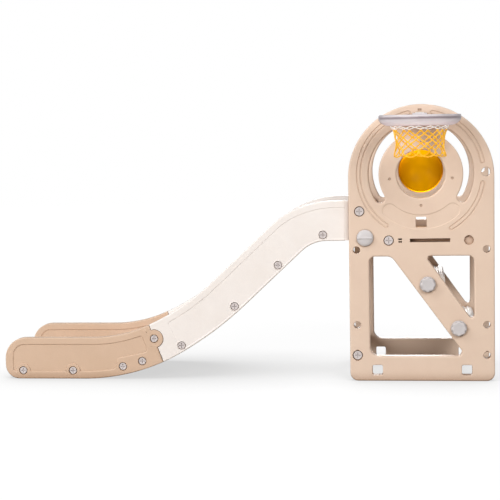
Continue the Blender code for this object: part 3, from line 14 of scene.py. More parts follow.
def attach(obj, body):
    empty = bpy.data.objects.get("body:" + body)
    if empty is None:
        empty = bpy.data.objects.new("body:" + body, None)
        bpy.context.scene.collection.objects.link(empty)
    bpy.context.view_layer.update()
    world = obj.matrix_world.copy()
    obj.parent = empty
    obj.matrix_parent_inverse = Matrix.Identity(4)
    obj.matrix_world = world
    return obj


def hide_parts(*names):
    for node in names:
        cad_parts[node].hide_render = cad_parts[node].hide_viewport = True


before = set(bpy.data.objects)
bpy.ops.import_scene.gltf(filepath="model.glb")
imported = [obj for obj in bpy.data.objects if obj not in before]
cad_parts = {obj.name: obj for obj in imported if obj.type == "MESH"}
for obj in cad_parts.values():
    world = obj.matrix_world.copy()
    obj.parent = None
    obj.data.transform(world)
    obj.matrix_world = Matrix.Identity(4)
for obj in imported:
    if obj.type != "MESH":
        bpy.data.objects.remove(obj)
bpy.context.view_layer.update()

# Tower frame in the world
TOWER_X = 0.6247034
TOWER_Y = -0.1085

# Clearances
GAP = 0.0003
SHAFT_CLEARANCE = 0.0005
CUT_OVER = 0.010
SLOT_CORNER_RADIUS = 0.002

# Tower
TOWER_HEIGHT = 0.960
TOWER_LENGTH = 0.500
TOWER_WIDTH = 0.451
PANEL_THICKNESS = 0.038
PANEL_EDGE_RADIUS = 0.005
PANEL_FOOT_RADIUS = 0.028

# Rings and slots in the arched head of each side panel
RING_DROP = 0.240
PORTHOLE_RADIUS = 0.0835
GRIP_INNER_RADIUS = 0.145
GRIP_OUTER_RADIUS = 0.180
GRIP_LOW_ANGLE = -30.0
GRIP_HIGH_ANGLE = 54.0
BAND_INNER_RADIUS = 0.205
BAND_OUTER_RADIUS = 0.222
BAND_DEPTH = 0.002
BAND_ARCS = ((101.0, 236.0), (11.0, 79.0), (-61.0, -9.0))
BADGE_INNER_RADIUS = 0.141
BADGE_OUTER_RADIUS = 0.190
BADGE_HALF_ANGLE = 41.0
BADGE_DEPTH = 0.0015
SIDE_HOLE_RADIUS = 0.0155
SIDE_HOLE_INSET = 0.0285
SIDE_HOLE_LIFT = 0.005
WINDOW_SLOT_WIDTH = 0.038
WINDOW_SLOT_HEIGHT = 0.036
WINDOW_SLOT_DROP = 0.165

# Openings under the deck
OPENING_DROP = 0.0555
HIGH_OPENING_DROP = 0.0545
OPENING_BOTTOM_Z = 0.087
OPENING_INSET = 0.070
LOW_OPENING_TOP_X = -0.104
LOW_OPENING_FOOT_X = 0.151
HIGH_OPENING_TOP_X = 0.013
HIGH_OPENING_FOOT_Z = 0.2002
OPENING_RADIUS = 0.020
OPENING_FOOT_RADIUS = 0.030
OPENING_TIP_RADIUS = 0.0145
HIGH_TIP_RADIUS = 0.010

# Small holes in the panels
COLUMN_HOLE_INSET = 0.0265
COLUMN_HOLE_RADIUS = 0.0122
COLUMN_HIGH_DROP = 0.0325
COLUMN_LOW_Z = 0.1965
COLUMN_FOOT_Z = 0.090
STAKE_HOLE_INSET = 0.0955
STAKE_HOLE_Z = 0.038
STAKE_HOLE_SIDE = 0.036
STAKE_HOLE_RADIUS = 0.006
SPARE_RECESS_INSET = 0.087
SPARE_RECESS_RADIUS = 0.016
SPARE_RECESS_DEPTH = 0.010
BELT_SLOT_X = -0.0725
BELT_SLOT_WIDTH = 0.013
BELT_SLOT_HEIGHT = 0.0055
BELT_SLOT_BAR = 0.0035

# Deck
DECK_DROP = 0.4685
DECK_THICKNESS = 0.040
DECK_FRONT_INSET = 0.090
DECK_BACK_INSET = 0.006
DECK_CORNER_RADIUS = 0.008
DECK_TAB_FRONT_X = -0.039
DECK_TAB_BACK_X = 0.099
DECK_TAB_THICKNESS = 0.012
DECK_TAB_REACH = 0.012
DECK_GROOVE_WIDTH = 0.014
DECK_GROOVE_DEPTH = 0.010
DECK_GROOVE_INSET = 0.026

# Cross bar at the foot of the slide side
CROSS_BAR_WIDTH = 0.036
CROSS_BAR_HEIGHT = 0.044
CROSS_BAR_RADIUS = 0.008

# Treads
LOWER_TREAD_Z = 0.1845
UPPER_TREAD_SHARE = 0.466
LOWER_TREAD_SHARE = 0.424
TREAD_FRONT = 0.060
TREAD_BACK = 0.040
TREAD_RISE = 0.023
TREAD_DROP = 0.021
TREAD_RADIUS = 0.009
TREAD_RIB_COUNT = 5
TREAD_RIB_HEIGHT = 0.003
TREAD_STUD_RADIUS = 0.013
TREAD_STUD_REACH = 0.011
NUT_RADIUS = 0.0245
NUT_LOBES = 8
NUT_LOBE_DEPTH = 0.0014
NUT_HEIGHT = 0.016
NUT_FLANGE_RADIUS = 0.0275
NUT_FLANGE_HEIGHT = 0.003

# Slide, seen from the side
SLIDE_ANGLE = 42.9
RAIL_DEPTH = 0.1405
RAIL_FOOT_HEIGHT = 0.149
RAIL_HEAD_DROP = 0.0015
RAIL_HEAD_HEIGHT = 0.141
UNDER_FOOT_RADIUS = 0.724
UNDER_FOOT_ANGLE = 30.0
UNDER_MIDDLE_RADIUS = 1.270
UNDER_HEAD_RADIUS = 0.127
OVER_FOOT_RADIUS = 0.4865
OVER_FOOT_ANGLE = 23.0
OVER_MIDDLE_RADIUS = 0.850
OVER_HEAD_RADIUS = 0.249
OVER_HEAD_ANGLE = 14.6
OVER_SHOULDER_RADIUS = 0.363
HEAD_RUN = 0.0625
FOOT_RUN = 0.289
RAIL_FOOT_TOP_RADIUS = 0.075
RAIL_FOOT_LOW_RADIUS = 0.050
RAIL_TO_TOWER = 0.016

# Slide, across
RAIL_SETBACK = 0.024
RAIL_THICKNESS = 0.030
RAIL_EDGE_RADIUS = 0.004
BED_LIFT = 0.006
BED_THICKNESS = 0.034
BED_FOOT_SETBACK = 0.012
BED_NOSE_RADIUS = 0.024
BED_NOSE_LOW_RADIUS = 0.0085
NECK_INSET = 0.034

# Joint between the lower and the upper part of the slide
JOINT_UNDER_RUN = 0.291
JOINT_OVER_RUN = 0.206
JOINT_TAB_RADIUS = 0.0325
JOINT_TAB_THICKNESS = 0.014
JOINT_TAB_PLACE = 0.37

# Tongue of each upper rail, between the side panels
TONGUE_REACH = 0.085
TONGUE_RADIUS = 0.030
TONGUE_INSET = 0.0015
TONGUE_LUG_DROP = 0.020
LIP_REACH = 0.040
LIP_RADIUS = 0.010
HOOK_RIB_WIDTH = 0.012
HOOK_RIB_DROP = 0.008

# Screws
RAIL_SCREW_HEAD_RADIUS = 0.0135
RAIL_SCREW_HEAD = 0.005
RAIL_SCREW_SHANK_RADIUS = 0.0050
RAIL_SCREW_LENGTH = 0.048
LOWER_SCREW_LIFT = 0.030
UPPER_SCREW_LIFT = 0.022
LOWER_RAIL_SCREW_RUNS = (-0.224, -0.040, 0.150, 0.224)
UPPER_RAIL_SCREW_SHARES = (0.134, 0.467, 0.733, 0.981)
PANEL_SCREW_HEAD_RADIUS = 0.0160
PANEL_SCREW_HEAD = 0.006
PANEL_SCREW_SHANK_RADIUS = 0.0065
PANEL_SCREW_LENGTH = 0.062
TONGUE_SCREW_SHORT = 0.002
TONGUE_SCREW_INSET = 0.0375
TONGUE_SCREW_LIFT = 0.1035
DECK_SCREW_INSET = 0.048
SCREW_RECESS = 0.001
SCREW_SLOT_WIDTH = 0.0022
SCREW_SLOT_DEPTH = 0.0016
SCREW_SLOT_SHARE = 0.62

# Lock knobs
LOCK_INSET = 0.0565
LOCK_LIFT = 0.0115
KNOB_RADIUS = 0.029
KNOB_HEIGHT = 0.012
KNOB_RIM_SHARE = 0.2
KNOB_RIDGE_REACH = 0.025
KNOB_RIDGE_WIDTH = 0.008
LOCK_SHAFT_RADIUS = 0.011
LOCK_NECK_RADIUS = 0.0062
LOCK_BAR_HALF_LENGTH = 0.022
LOCK_BAR_WIDTH = 0.013
LOCK_BAR_THICKNESS = 0.009
LOCK_BAR_BORE_RADIUS = 0.0045
LOCK_SLOT_CLEARANCE = 0.001
END_ROUNDING = 0.96

# Hoop, its hook and its net
HOOP_DROP = 0.0375
HOOP_X = -0.002
HOOP_RADIUS = 0.1375
HOOP_MOUTH_RADIUS = 0.0925
HOOP_DEPTH = 0.0365
HOOP_WALL = 0.004
HOOP_STANDOFF = 0.006
HOOP_BLOCK_WIDTH = 0.046
HOOP_BLOCK_HEIGHT = 0.018
HOOP_BLOCK_REACH = 0.012
HOOP_BLOCK_DROP = 0.003
HOOP_SECTION = ((0.001, 0.0), (0.0, 0.013), (0.005, 0.0235), (0.018, 0.0325))
HOOP_FLOOR_INSET = 0.033
HOOP_BOSS_RADIUS = 0.008
HOOP_BOSS_HEIGHT = 0.002
HOOP_BOSS_LIFT = 0.004
HOOK_PLATE_WIDTH = 0.050
HOOK_PLATE_THICKNESS = 0.004
HOOK_PLATE_TOP = 0.0075
HOOK_PLATE_HEIGHT = 0.037
HOOK_TAB_WIDTH = 0.029
HOOK_TAB_HEIGHT = 0.024
HOOK_LIP_DROP = 0.0045
HOOK_LIP_THICKNESS = 0.005
HOOK_SLOT_WIDTH = 0.0315
HOOK_SLOT_SPARE = 0.006
HOOK_MARK_WIDTH = 0.012
HOOK_MARK_HEIGHT = 0.0065
HOOP_SCREW_RADIUS = 0.0025
HOOP_SCREW_HEAD_RADIUS = 0.0045
HOOP_SCREW_HEAD = 0.003
NET_LOOPS = 9
NET_TURN = -22.5
NET_TOP_RADIUS = 0.0885
NET_WAIST_RADIUS = 0.0800
NET_HEM_RADIUS = 0.0850
NET_TOP_DROP = 0.052
NET_ROW_DROPS = (0.023, 0.044, 0.065, 0.087)
NET_CORD = 0.0046
TIE_RADIUS = 0.0014
TIE_PEAK_RADIUS = 0.097

# Bubble window on the far panel
BUBBLE_DEPTH = 0.045
BUBBLE_WALL = 0.003
BUBBLE_PLUG_DEPTH = 0.008
BUBBLE_CROWN_SHARE = 0.03
BUBBLE_FLANGE_RADIUS = 0.119
BUBBLE_FLANGE = 0.004
BUBBLE_SCREW_CIRCLE = 0.108
BUBBLE_SCREW_TILT = -8.0
PILOT_RADIUS = 0.0045
PILOT_DEPTH = 0.010
BUBBLE_SCREW_HEAD_RADIUS = 0.0050
BUBBLE_SCREW_HEAD = 0.003
BUBBLE_SCREW_SHANK_RADIUS = 0.0022

# Segments of round pieces
ARCH_STEPS = 72
PORTHOLE_STEPS = 72
HOOP_STEPS = 112
HOLE_STEPS = 28
DOME_STEPS = 16
BAND_STEP_ANGLE = 5.0
CORNER_STEPS = 9
SMALL_CORNER_STEPS = 5
SMALL_CORNER_RADIUS = 0.009

# Derived places
HALF_LENGTH = TOWER_LENGTH / 2
ARCH_CENTRE_Z = TOWER_HEIGHT - HALF_LENGTH
RING_Z = TOWER_HEIGHT - RING_DROP
DECK_Z = TOWER_HEIGHT - DECK_DROP
INNER_Y = PANEL_THICKNESS
OPENING_TOP_Z = DECK_Z - OPENING_DROP
HIGH_OPENING_TOP_Z = DECK_Z - HIGH_OPENING_DROP
OPENING_HALF_LENGTH = HALF_LENGTH - OPENING_INSET
COLUMN_HOLE_X = HALF_LENGTH - COLUMN_HOLE_INSET
COLUMN_HIGH_Z = DECK_Z - COLUMN_HIGH_DROP
STAKE_HOLE_X = HALF_LENGTH - STAKE_HOLE_INSET
SPARE_RECESS_X = HALF_LENGTH - SPARE_RECESS_INSET
SIDE_HOLE_X = HALF_LENGTH - SIDE_HOLE_INSET
DECK_TOP_Z = DECK_Z + DECK_THICKNESS / 2
DECK_FRONT_X = -HALF_LENGTH + DECK_FRONT_INSET
DECK_BACK_X = HALF_LENGTH - DECK_BACK_INSET
DECK_GROOVE_X = DECK_FRONT_X + DECK_GROOVE_INSET
DECK_SCREW_X = DECK_FRONT_X + DECK_SCREW_INSET
RAIL_HEAD_Z = DECK_Z - RAIL_HEAD_DROP
RAIL_INNER_Y = RAIL_SETBACK + RAIL_THICKNESS
HEAD_END_X = -HALF_LENGTH - RAIL_TO_TOWER
TONGUE_END_X = -HALF_LENGTH + TONGUE_REACH
TONGUE_SCREW_X = -HALF_LENGTH + TONGUE_SCREW_INSET
TONGUE_SCREW_Z = RAIL_HEAD_Z + TONGUE_SCREW_LIFT
LOCK_X = -HALF_LENGTH + LOCK_INSET
LOCK_Z = RAIL_HEAD_Z + LOCK_LIFT
LOCK_BAR_Y = RAIL_INNER_Y + 2 * GAP
HOOP_TOP_Z = TOWER_HEIGHT - HOOP_DROP
HOOP_Y = -HOOP_STANDOFF - HOOP_RADIUS
HOOP_SCREW_Z = HOOP_TOP_Z - HOOP_BLOCK_DROP - HOOP_BLOCK_HEIGHT / 2
HOOK_TOP_Z = HOOP_TOP_Z + HOOK_PLATE_TOP

# Finer detail than the solids
SHARP_ANGLE = 40.0
EDGE_STEPS_PER_RADIAN = 40
EDGE_ROUNDING_STEPS = 4
CROSS_BAR_EDGE = 0.003
PLAIN_EDGE = 0.002
SMALL_EDGE = 0.0015
THIN_EDGE = 0.001
FINE_EDGE = 0.0008
CUT_MARGIN = 0.002
SEAT_SPARE = 0.001
RECESS_SLOPE = 0.0012
BAND_CHANNEL = 0.0045
PILOT_DIMPLE = 0.0035
# Softened rim of a small hole: (how far the loop stands out, depth)
HOLE_RIM = ((0.0035, -0.0015), (0.002, 0.0), (0.0005, 0.0008), (0.0, 0.002))
# Foot marks of a panel: (side of the column holes, height over the foot hole)
FOOT_MARKS = ((-1, 0.0185), (-1, -0.0185), (1, 0.0145))
FOOT_MARK_WIDTH = 0.009
FOOT_MARK_HEIGHT = 0.002
DECK_RIB_PLACES = [-0.06 + 0.024 * i for i in range(12)]
DECK_RIB_SETBACK = 0.03
# Net and lashing: shares are of the cord's thickness, turns are of its two plies or of a knot
PLY_SHARE = 0.29
PLY_FILL = 1.15
STRAND_SAG = 0.0012
STRAND_TURNS = 2.0
STRAND_STEPS = 16
HEM_TURNS = 3.5
HEM_STEPS = 28
KNOT_SHARE = 0.55
KNOT_TURNS = 2.0
KNOT_STEPS = 24
TIE_STEPS = 16

# Fields pressed into the rails, and the collar that closes the gap to the tower
FIELD_HIGH_INSET = 0.026
FIELD_LOW_INSET = 0.0275
FIELD_NOSE_INSET = 0.030
FIELD_NOSE_RADIUS = 0.040
FIELD_TAIL = (
    (0.112, 0.0345, 0.010),
    (0.126, 0.0765, 0.016),
    (0.234, 0.0985, 0.009),
    (0.215, 0.1545, 0.006),
)
LOWER_FIELD_DEPTH = 0.0022
UPPER_FIELD_DEPTH = 0.0010
FIELD_SLOPE = 0.0016
FIELD_LAND = 0.0125
UPPER_FIELD_LAND = 0.0045
UPPER_FIELD_RUN = 0.275
UPPER_FIELD_LEAN = 0.035
UPPER_FIELD_LOW_INSET = 0.0095
HEAD_SPARE = 0.030
JOINT_SHADOW = 0.0014
COLLAR_OVERLAP = 0.008
COLLAR_GAP = 0.0012
COLLAR_INSET = 0.0016

# Studio: each lamp as (name, degrees to the right of the front, degrees above the floor, power)
LAMPS = (
    ("low_left", -30.0, 12.0, 280.0),
    ("high_left", -60.0, 35.0, 217.0),
    ("high_right", 30.0, 35.0, 308.0),
    ("back", 180.0, 14.0, 215.0),
)
LAMP_AIM = (0.1, 0.0, 0.4)
LAMP_DISTANCE = 8.0
LAMP_SIZE = 3.0
WORLD_FILL = 0.02
FLOOR_RADIUS = 12.0
FLOOR_FADE_START = 1.2
FLOOR_FADE_END = 4.0
FLOOR_LIFT = 0.90
# Painted floor shadow: how far occlusion looks, and the floor's glow where shaded and where open
FLOOR_SHADE_REACH = 0.45
FLOOR_SHADE = 0.70
FLOOR_WHITE = 1.05

# Camera, fitted to the photograph: turn in radians, place in the tower frame
CAMERA_YAW = 0.12174
CAMERA_PITCH = 0.08573
CAMERA_ROLL = -0.01863
CAMERA_LENS = 100.8
CAMERA_PLACE = (-0.00235, -4.8541, 0.88317)

SIDES = ((False, "near"), (True, "far"))

# Plastics: name, slot, colour, mottling, corner tone (wear and painted highlight), painted shade tone
# for hollows, roughness and painted glow
PLASTICS = (
    ("beige", "beige_plastic", (232, 208, 188), (228, 203, 183), (240, 221, 204), (150, 111, 80), 0.46),
    ("sand", "beige_plastic", (216, 186, 161), (211, 181, 155), (228, 203, 180), (146, 108, 78), 0.44),
    ("white", "white_plastic", (246, 240, 236), (242, 235, 230), (250, 246, 242), (226, 211, 202), 0.42),
    ("grey", "grey_plastic", (211, 207, 208), (204, 200, 201), (228, 224, 226), (140, 130, 126), 0.40),
    (
        "steel_grey", "grey_plastic",
        (218, 210, 209), (208, 200, 199), (228, 222, 221), (146, 136, 134), 0.40,
    ),
    # Painted light: a lighter copy of the grey, with a painted glow, for the treads that sit in shade
    # between the panels.
    (
        "pale_grey", "grey_plastic",
        (246, 242, 239), (240, 236, 232), (250, 248, 246), (240, 236, 232), 0.44, 0.07,
    ),
)


def linear(value):
    share = value / 255
    if share <= 0.04045:
        return share / 12.92
    return ((share + 0.055) / 1.055) ** 2.4


def polar(radius, angle, centre=(0.0, 0.0)):
    turn = math.radians(angle)
    return (centre[0] + radius * math.cos(turn), centre[1] + radius * math.sin(turn))


def arc(centre, radius, start, end, steps):
    return [polar(radius, start + (end - start) * i / steps, centre) for i in range(steps + 1)]


def circle(centre, radius, steps=HOLE_STEPS):
    return [polar(radius, 360 * (i + 0.5) / steps, centre) for i in range(steps)]


def rounded(corners):
    """Outline through (x, z, radius) corners, each corner turned into an arc of its radius."""
    outline = []
    for i, (x, z, radius) in enumerate(corners):
        here = Vector((x, z))
        before = (Vector(corners[i - 1][:2]) - here).normalized()
        after = (Vector(corners[(i + 1) % len(corners)][:2]) - here).normalized()
        if radius <= 0:
            outline.append((x, z))
            continue
        half = before.angle(after) / 2
        centre = here + (before + after).normalized() * (radius / math.sin(half))
        first = here + before * (radius / math.tan(half)) - centre
        last = here + after * (radius / math.tan(half)) - centre
        turn = first.angle_signed(last)
        steps = CORNER_STEPS if radius > SMALL_CORNER_RADIUS else SMALL_CORNER_STEPS
        for step in range(steps + 1):
            spot = first.copy()
            spot.rotate(Matrix.Rotation(-turn * step / steps, 2))
            outline.append(tuple(centre + spot))
    return outline


def rectangle(x0, x1, z0, z1, radius=0.0):
    return rounded([(x0, z0, radius), (x1, z0, radius), (x1, z1, radius), (x0, z1, radius)])


def box(centre, width, height, radius=0.0):
    """Rectangle about a centre."""
    x, z = centre
    return rectangle(x - width / 2, x + width / 2, z - height / 2, z + height / 2, radius)


def ring_band(centre, inner, outer, start, end):
    """Band between two radii with half-round ends."""
    steps = round((end - start) / BAND_STEP_ANGLE)
    middle = (inner + outer) / 2
    half = (outer - inner) / 2
    outline = arc(centre, outer, start, end, steps)
    outline += arc(polar(middle, end, centre), half, end, end + 180, CORNER_STEPS)[1:-1]
    outline += arc(centre, inner, end, start, steps)
    outline += arc(polar(middle, start, centre), half, start + 180, start + 360, CORNER_STEPS)[1:-1]
    return outline


# Working on meshes

def placed(name, data):
    """New object of a mesh, curve, lamp or camera, in the scene."""
    obj = bpy.data.objects.new(name, data)
    bpy.context.scene.collection.objects.link(obj)
    return obj


def baked(holder):
    """Final mesh of a working object, which is deleted."""
    graph = bpy.context.evaluated_depsgraph_get()
    mesh = bpy.data.meshes.new_from_object(holder.evaluated_get(graph))
    bpy.data.objects.remove(holder)
    return mesh


def made_mesh(shape, name="made"):
    """Mesh of a working shape, which is freed."""
    mesh = bpy.data.meshes.new(name)
    shape.to_mesh(mesh)
    shape.free()
    return mesh


def reworked(mesh, work):
    """The same mesh after work has changed its shape."""
    shape = bmesh.new()
    shape.from_mesh(mesh)
    work(shape)
    shape.to_mesh(mesh)
    shape.free()
    return mesh


def moved(mesh, x, y, z):
    mesh.transform(Matrix.Translation((x, y, z)))
    return mesh


def at_side(mesh, far):
    """Copy of a near-side mesh, mirrored for the far side."""
    copy = mesh.copy()
    if far:
        copy.transform(Matrix.Translation((0.0, TOWER_WIDTH, 0.0)) @ Matrix.Scale(-1, 4, (0, 1, 0)))
        copy.flip_normals()
    return copy


def smooth(mesh):
    """Smooth shading that stops at sharp corners and round every flat side."""
    def mark_flat_sides(shape):
        for edge in shape.edges:
            flat = [abs(face.normal.y) > 0.99999 for face in edge.link_faces]
            if any(flat) and not all(flat):
                edge.smooth = False

    mesh.shade_smooth()
    mesh.set_sharp_from_angle(angle=math.radians(SHARP_ANGLE))
    return reworked(mesh, mark_flat_sides)


def stretched(loop, distance):
    """Loop whose every corner stands out by distance, or stands in where it is negative."""
    area = sum(a[0] * b[1] - b[0] * a[1] for a, b in zip(loop, loop[1:] + loop[:1]))
    way = 1.0 if area > 0 else -1.0
    shifted = []
    for i, spot in enumerate(loop):
        here = Vector(spot)
        before = (here - Vector(loop[i - 1])).normalized()
        after = (Vector(loop[(i + 1) % len(loop)]) - here).normalized()
        across = (before + after).normalized()
        normal = Vector((across.y, -across.x)) * way
        lean = max(0.3, abs(before.dot(across)))
        shifted.append(tuple(here + normal * (distance / lean)))
    return shifted


def add_spline(curve, points, closed):
    spline = curve.splines.new("POLY")
    spline.points.add(len(points) - 1)
    for point, spot in zip(spline.points, points):
        point.co = (*spot, 1.0)
    spline.use_cyclic_u = closed


def plate_mesh(loops, y0, y1, edge, steps=EDGE_ROUNDING_STEPS):
    """Flat piece from side-view loops, the first its outline and the others holes, edges rounded."""
    flat = bpy.data.curves.new("plate", "CURVE")
    flat.dimensions = "2D"
    flat.fill_mode = "BOTH"
    flat.extrude = (y1 - y0) / 2 - edge
    flat.bevel_depth = edge
    flat.bevel_resolution = steps
    flat.offset = -edge
    for loop in loops:
        add_spline(flat, [(x, z, 0.0) for x, z in loop], True)
    stand = Matrix.Translation((0.0, (y0 + y1) / 2, 0.0)) @ Matrix.Rotation(math.pi / 2, 4, "X")

    def stand_up(shape):
        bmesh.ops.remove_doubles(shape, verts=shape.verts, dist=0.00001)
        bmesh.ops.transform(shape, matrix=stand, verts=shape.verts)

    return reworked(baked(placed("plate", flat)), stand_up)


def rings_mesh(bodies, closed=False):
    """Mesh of bodies, each a list of rings of points; closed joins the last ring to the first."""
    shape = bmesh.new()
    for body in bodies:
        rings = [[shape.verts.new(spot) for spot in ring] for ring in body]
        pairs = list(zip(rings, rings[1:]))
        if closed:
            pairs.append((rings[-1], rings[0]))
        else:
            shape.faces.new(rings[0])
            shape.faces.new(rings[-1])
        for low, high in pairs:
            for i in range(len(low)):
                j = (i + 1) % len(low)
                shape.faces.new((low[i], low[j], high[j], high[i]))
    bmesh.ops.recalc_face_normals(shape, faces=shape.faces)
    return made_mesh(shape)


def lofts_mesh(parts, closed=False):
    """Mesh of separate bodies, each a list of (loop, y) sections joined in order."""
    bodies = [[[(x, y, z) for x, z in loop] for loop, y in sections] for sections in parts]
    return rings_mesh(bodies, closed)


def turned_mesh(profile, steps, closed=False, start=0.5):
    """Body turned about +Y through (radius, y) rings; a third value gives a ring the nut's lobes."""
    rings = []
    for radius, y, *lobed in profile:
        ring = []
        for i in range(steps):
            turn = 2 * math.pi * (i + start) / steps
            reach = radius
            if lobed:
                reach += NUT_LOBE_DEPTH * math.cos(NUT_LOBES * turn)
            ring.append((reach * math.cos(turn), y, reach * math.sin(turn)))
        rings.append(ring)
    return rings_mesh([rings], closed)


def straight(loop, y0, y1):
    """Sections of a prism over a loop."""
    return [(loop, y0), (loop, y1)]


def hollow(loop, face, depth, slope):
    """Tool for a shallow recess in a face, its walls leaning out by slope and its floor rounded in."""
    return [
        (stretched(loop, slope * 1.5), face - depth * 0.5),
        (stretched(loop, slope), face),
        (loop, face + depth * 0.7),
        (stretched(loop, -slope * 0.8), face + depth),
    ]


def combined(mesh, operation, *tools):
    """Mesh with each tool mesh cut out of it or joined on."""
    for tool in tools:
        body = placed("work", mesh)
        other = placed("tool", tool)
        modifier = body.modifiers.new("shape", "BOOLEAN")
        modifier.operation = operation
        modifier.solver = "EXACT"
        modifier.use_self = True
        modifier.object = other
        mesh = baked(body)
        bpy.data.objects.remove(other)
    return mesh


def cut(mesh, *tools):
    return combined(mesh, "DIFFERENCE", *tools)


def join(mesh, *tools):
    return combined(mesh, "UNION", *tools)


def merged(meshes):
    """One mesh of several that stand clear of each other or merely touch."""
    shape = bmesh.new()
    for mesh in meshes:
        shape.from_mesh(mesh)
    return made_mesh(shape)


def add_piece(node, mesh, look, body="frame"):
    """Put a tower-frame mesh into the world as the piece for a node; look is (material, slot), and its
    slot is not used.
    """
    name = node + "_look"
    mat, slot = look
    mesh.name = name
    mesh.materials.clear()
    mesh.materials.append(mat)
    for polygon in mesh.polygons:
        polygon.material_index = 0
    obj = placed(name, smooth(moved(mesh, TOWER_X, TOWER_Y, 0.0)))
    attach(obj, body)
    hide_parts(node)


# The slide's long edges

class Edge:
    """Long edge of a rail: flat foot, two hollow arcs, the slope, two crowned arcs, flat head.

    Points are (x, z, angle of the edge); x = 0 is where the first arc starts.
    """

    def __init__(self, foot_z, head_z, foot_arcs, head_arcs):
        slope = math.radians(SLIDE_ANGLE)
        self.points = [(-FOOT_RUN, foot_z, 0.0), (0.0, foot_z, 0.0)]
        angle = 0.0
        for radius, turn in foot_arcs:
            self.bend(radius, angle, angle + math.radians(turn))
            angle += math.radians(turn)
        drop = 0.0
        head_angle = slope
        for radius, turn in head_arcs:
            after = head_angle - math.radians(turn)
            drop += radius * (math.cos(after) - math.cos(head_angle))
            head_angle = after
        x, z, _ = self.points[-1]
        length = (head_z - drop - z) / math.sin(slope)
        self.slope_start = (x, z)
        self.points.append((x + length * math.cos(slope), z + length * math.sin(slope), slope))
        angle = slope
        for radius, turn in head_arcs:
            self.bend(-radius, angle, angle - math.radians(turn))
            angle -= math.radians(turn)

    def bend(self, radius, start, end):
        """Arc from one edge angle to another; a negative radius turns downwards."""
        x, z, _ = self.points[-1]
        steps = max(3, round(abs(end - start) * EDGE_STEPS_PER_RADIAN))
        for i in range(1, steps + 1):
            angle = start + (end - start) * i / steps
            across = radius * (math.sin(angle) - math.sin(start))
            rise = radius * (math.cos(start) - math.cos(angle))
            self.points.append((x + across, z + rise, angle))

    def shift(self, distance):
        self.points = [(x + distance, z, angle) for x, z, angle in self.points]
        self.slope_start = (self.slope_start[0] + distance, self.slope_start[1])

    def offset(self, distance):
        """Points of the line that runs at this distance above the edge."""
        return [
            (x - distance * math.sin(angle), z + distance * math.cos(angle))
            for x, z, angle in self.points
        ]


def at_x(line, x):
    """Point of a left-to-right line at x."""
    for (x0, z0), (x1, z1) in zip(line, line[1:]):
        if x0 <= x <= x1 and x1 > x0:
            return (x, z0 + (z1 - z0) * (x - x0) / (x1 - x0))
    raise ValueError("the line does not reach this x")


def before_x(line, x):
    return [point for point in line if point[0] < x - GAP] + [at_x(line, x)]


def after_x(line, x):
    return [at_x(line, x)] + [point for point in line if point[0] > x + GAP]


def slide_edges():
    under = Edge(
        0.0,
        RAIL_HEAD_Z,
        ((UNDER_FOOT_RADIUS, UNDER_FOOT_ANGLE), (UNDER_MIDDLE_RADIUS, SLIDE_ANGLE - UNDER_FOOT_ANGLE)),
        ((UNDER_HEAD_RADIUS, SLIDE_ANGLE),),
    )
    over = Edge(
        RAIL_FOOT_HEIGHT,
        RAIL_HEAD_Z + RAIL_HEAD_HEIGHT,
        ((OVER_FOOT_RADIUS, OVER_FOOT_ANGLE), (OVER_MIDDLE_RADIUS, SLIDE_ANGLE - OVER_FOOT_ANGLE)),
        ((OVER_HEAD_RADIUS, OVER_HEAD_ANGLE), (OVER_SHOULDER_RADIUS, SLIDE_ANGLE - OVER_HEAD_ANGLE)),
    )
    under.shift(HEAD_END_X - HEAD_RUN - under.points[-1][0])
    # The two slopes run side by side, RAIL_DEPTH apart.
    slope = math.radians(SLIDE_ANGLE)
    x, z = under.slope_start
    over_x, over_z = over.slope_start
    line_x = x + ((over_z - z) - RAIL_DEPTH / math.cos(slope)) / math.tan(slope)
    over.shift(line_x - over_x)
    return under, over


UNDER, OVER = slide_edges()
FOOT_END_X = UNDER.points[1][0]


def edge_spot(run, lift):
    """Point at this height above the under edge, square to it, run along the floor from its foot."""
    for (x0, z0, a0), (x1, z1, a1) in zip(UNDER.points, UNDER.points[1:]):
        if x0 <= FOOT_END_X + run <= x1:
            share = (FOOT_END_X + run - x0) / (x1 - x0)
            angle = a0 + (a1 - a0) * share
            x = x0 + (x1 - x0) * share - lift * math.sin(angle)
            return (x, z0 + (z1 - z0) * share + lift * math.cos(angle))
    raise ValueError("the edge does not reach this run")


def joint_line():
    """Lower and upper end of the joint between the two parts of a rail."""
    low_x = FOOT_END_X + JOINT_UNDER_RUN
    high_x = OVER.points[1][0] + JOINT_OVER_RUN
    return at_x(UNDER.offset(0.0), low_x), at_x(OVER.offset(0.0), high_x)


def joint_tab_centre():
    low, high = joint_line()
    share = JOINT_TAB_PLACE
    return (high[0] + (low[0] - high[0]) * share, high[1] + (low[1] - high[1]) * share)


# Loops and places of the tower

def opening_loops():
    """The slanted opening under the steps and the tall corner opening above them."""
    low = rounded([
        (-OPENING_HALF_LENGTH, OPENING_BOTTOM_Z, OPENING_FOOT_RADIUS),
        (LOW_OPENING_FOOT_X, OPENING_BOTTOM_Z, OPENING_TIP_RADIUS),
        (LOW_OPENING_TOP_X, OPENING_TOP_Z, OPENING_FOOT_RADIUS),
        (-OPENING_HALF_LENGTH, OPENING_TOP_Z, OPENING_RADIUS),
    ])
    high = rounded([
        (OPENING_HALF_LENGTH, HIGH_OPENING_FOOT_Z, HIGH_TIP_RADIUS),
        (OPENING_HALF_LENGTH, HIGH_OPENING_TOP_Z, OPENING_RADIUS),
        (HIGH_OPENING_TOP_X, HIGH_OPENING_TOP_Z, HIGH_TIP_RADIUS),
    ])
    return [low, high]


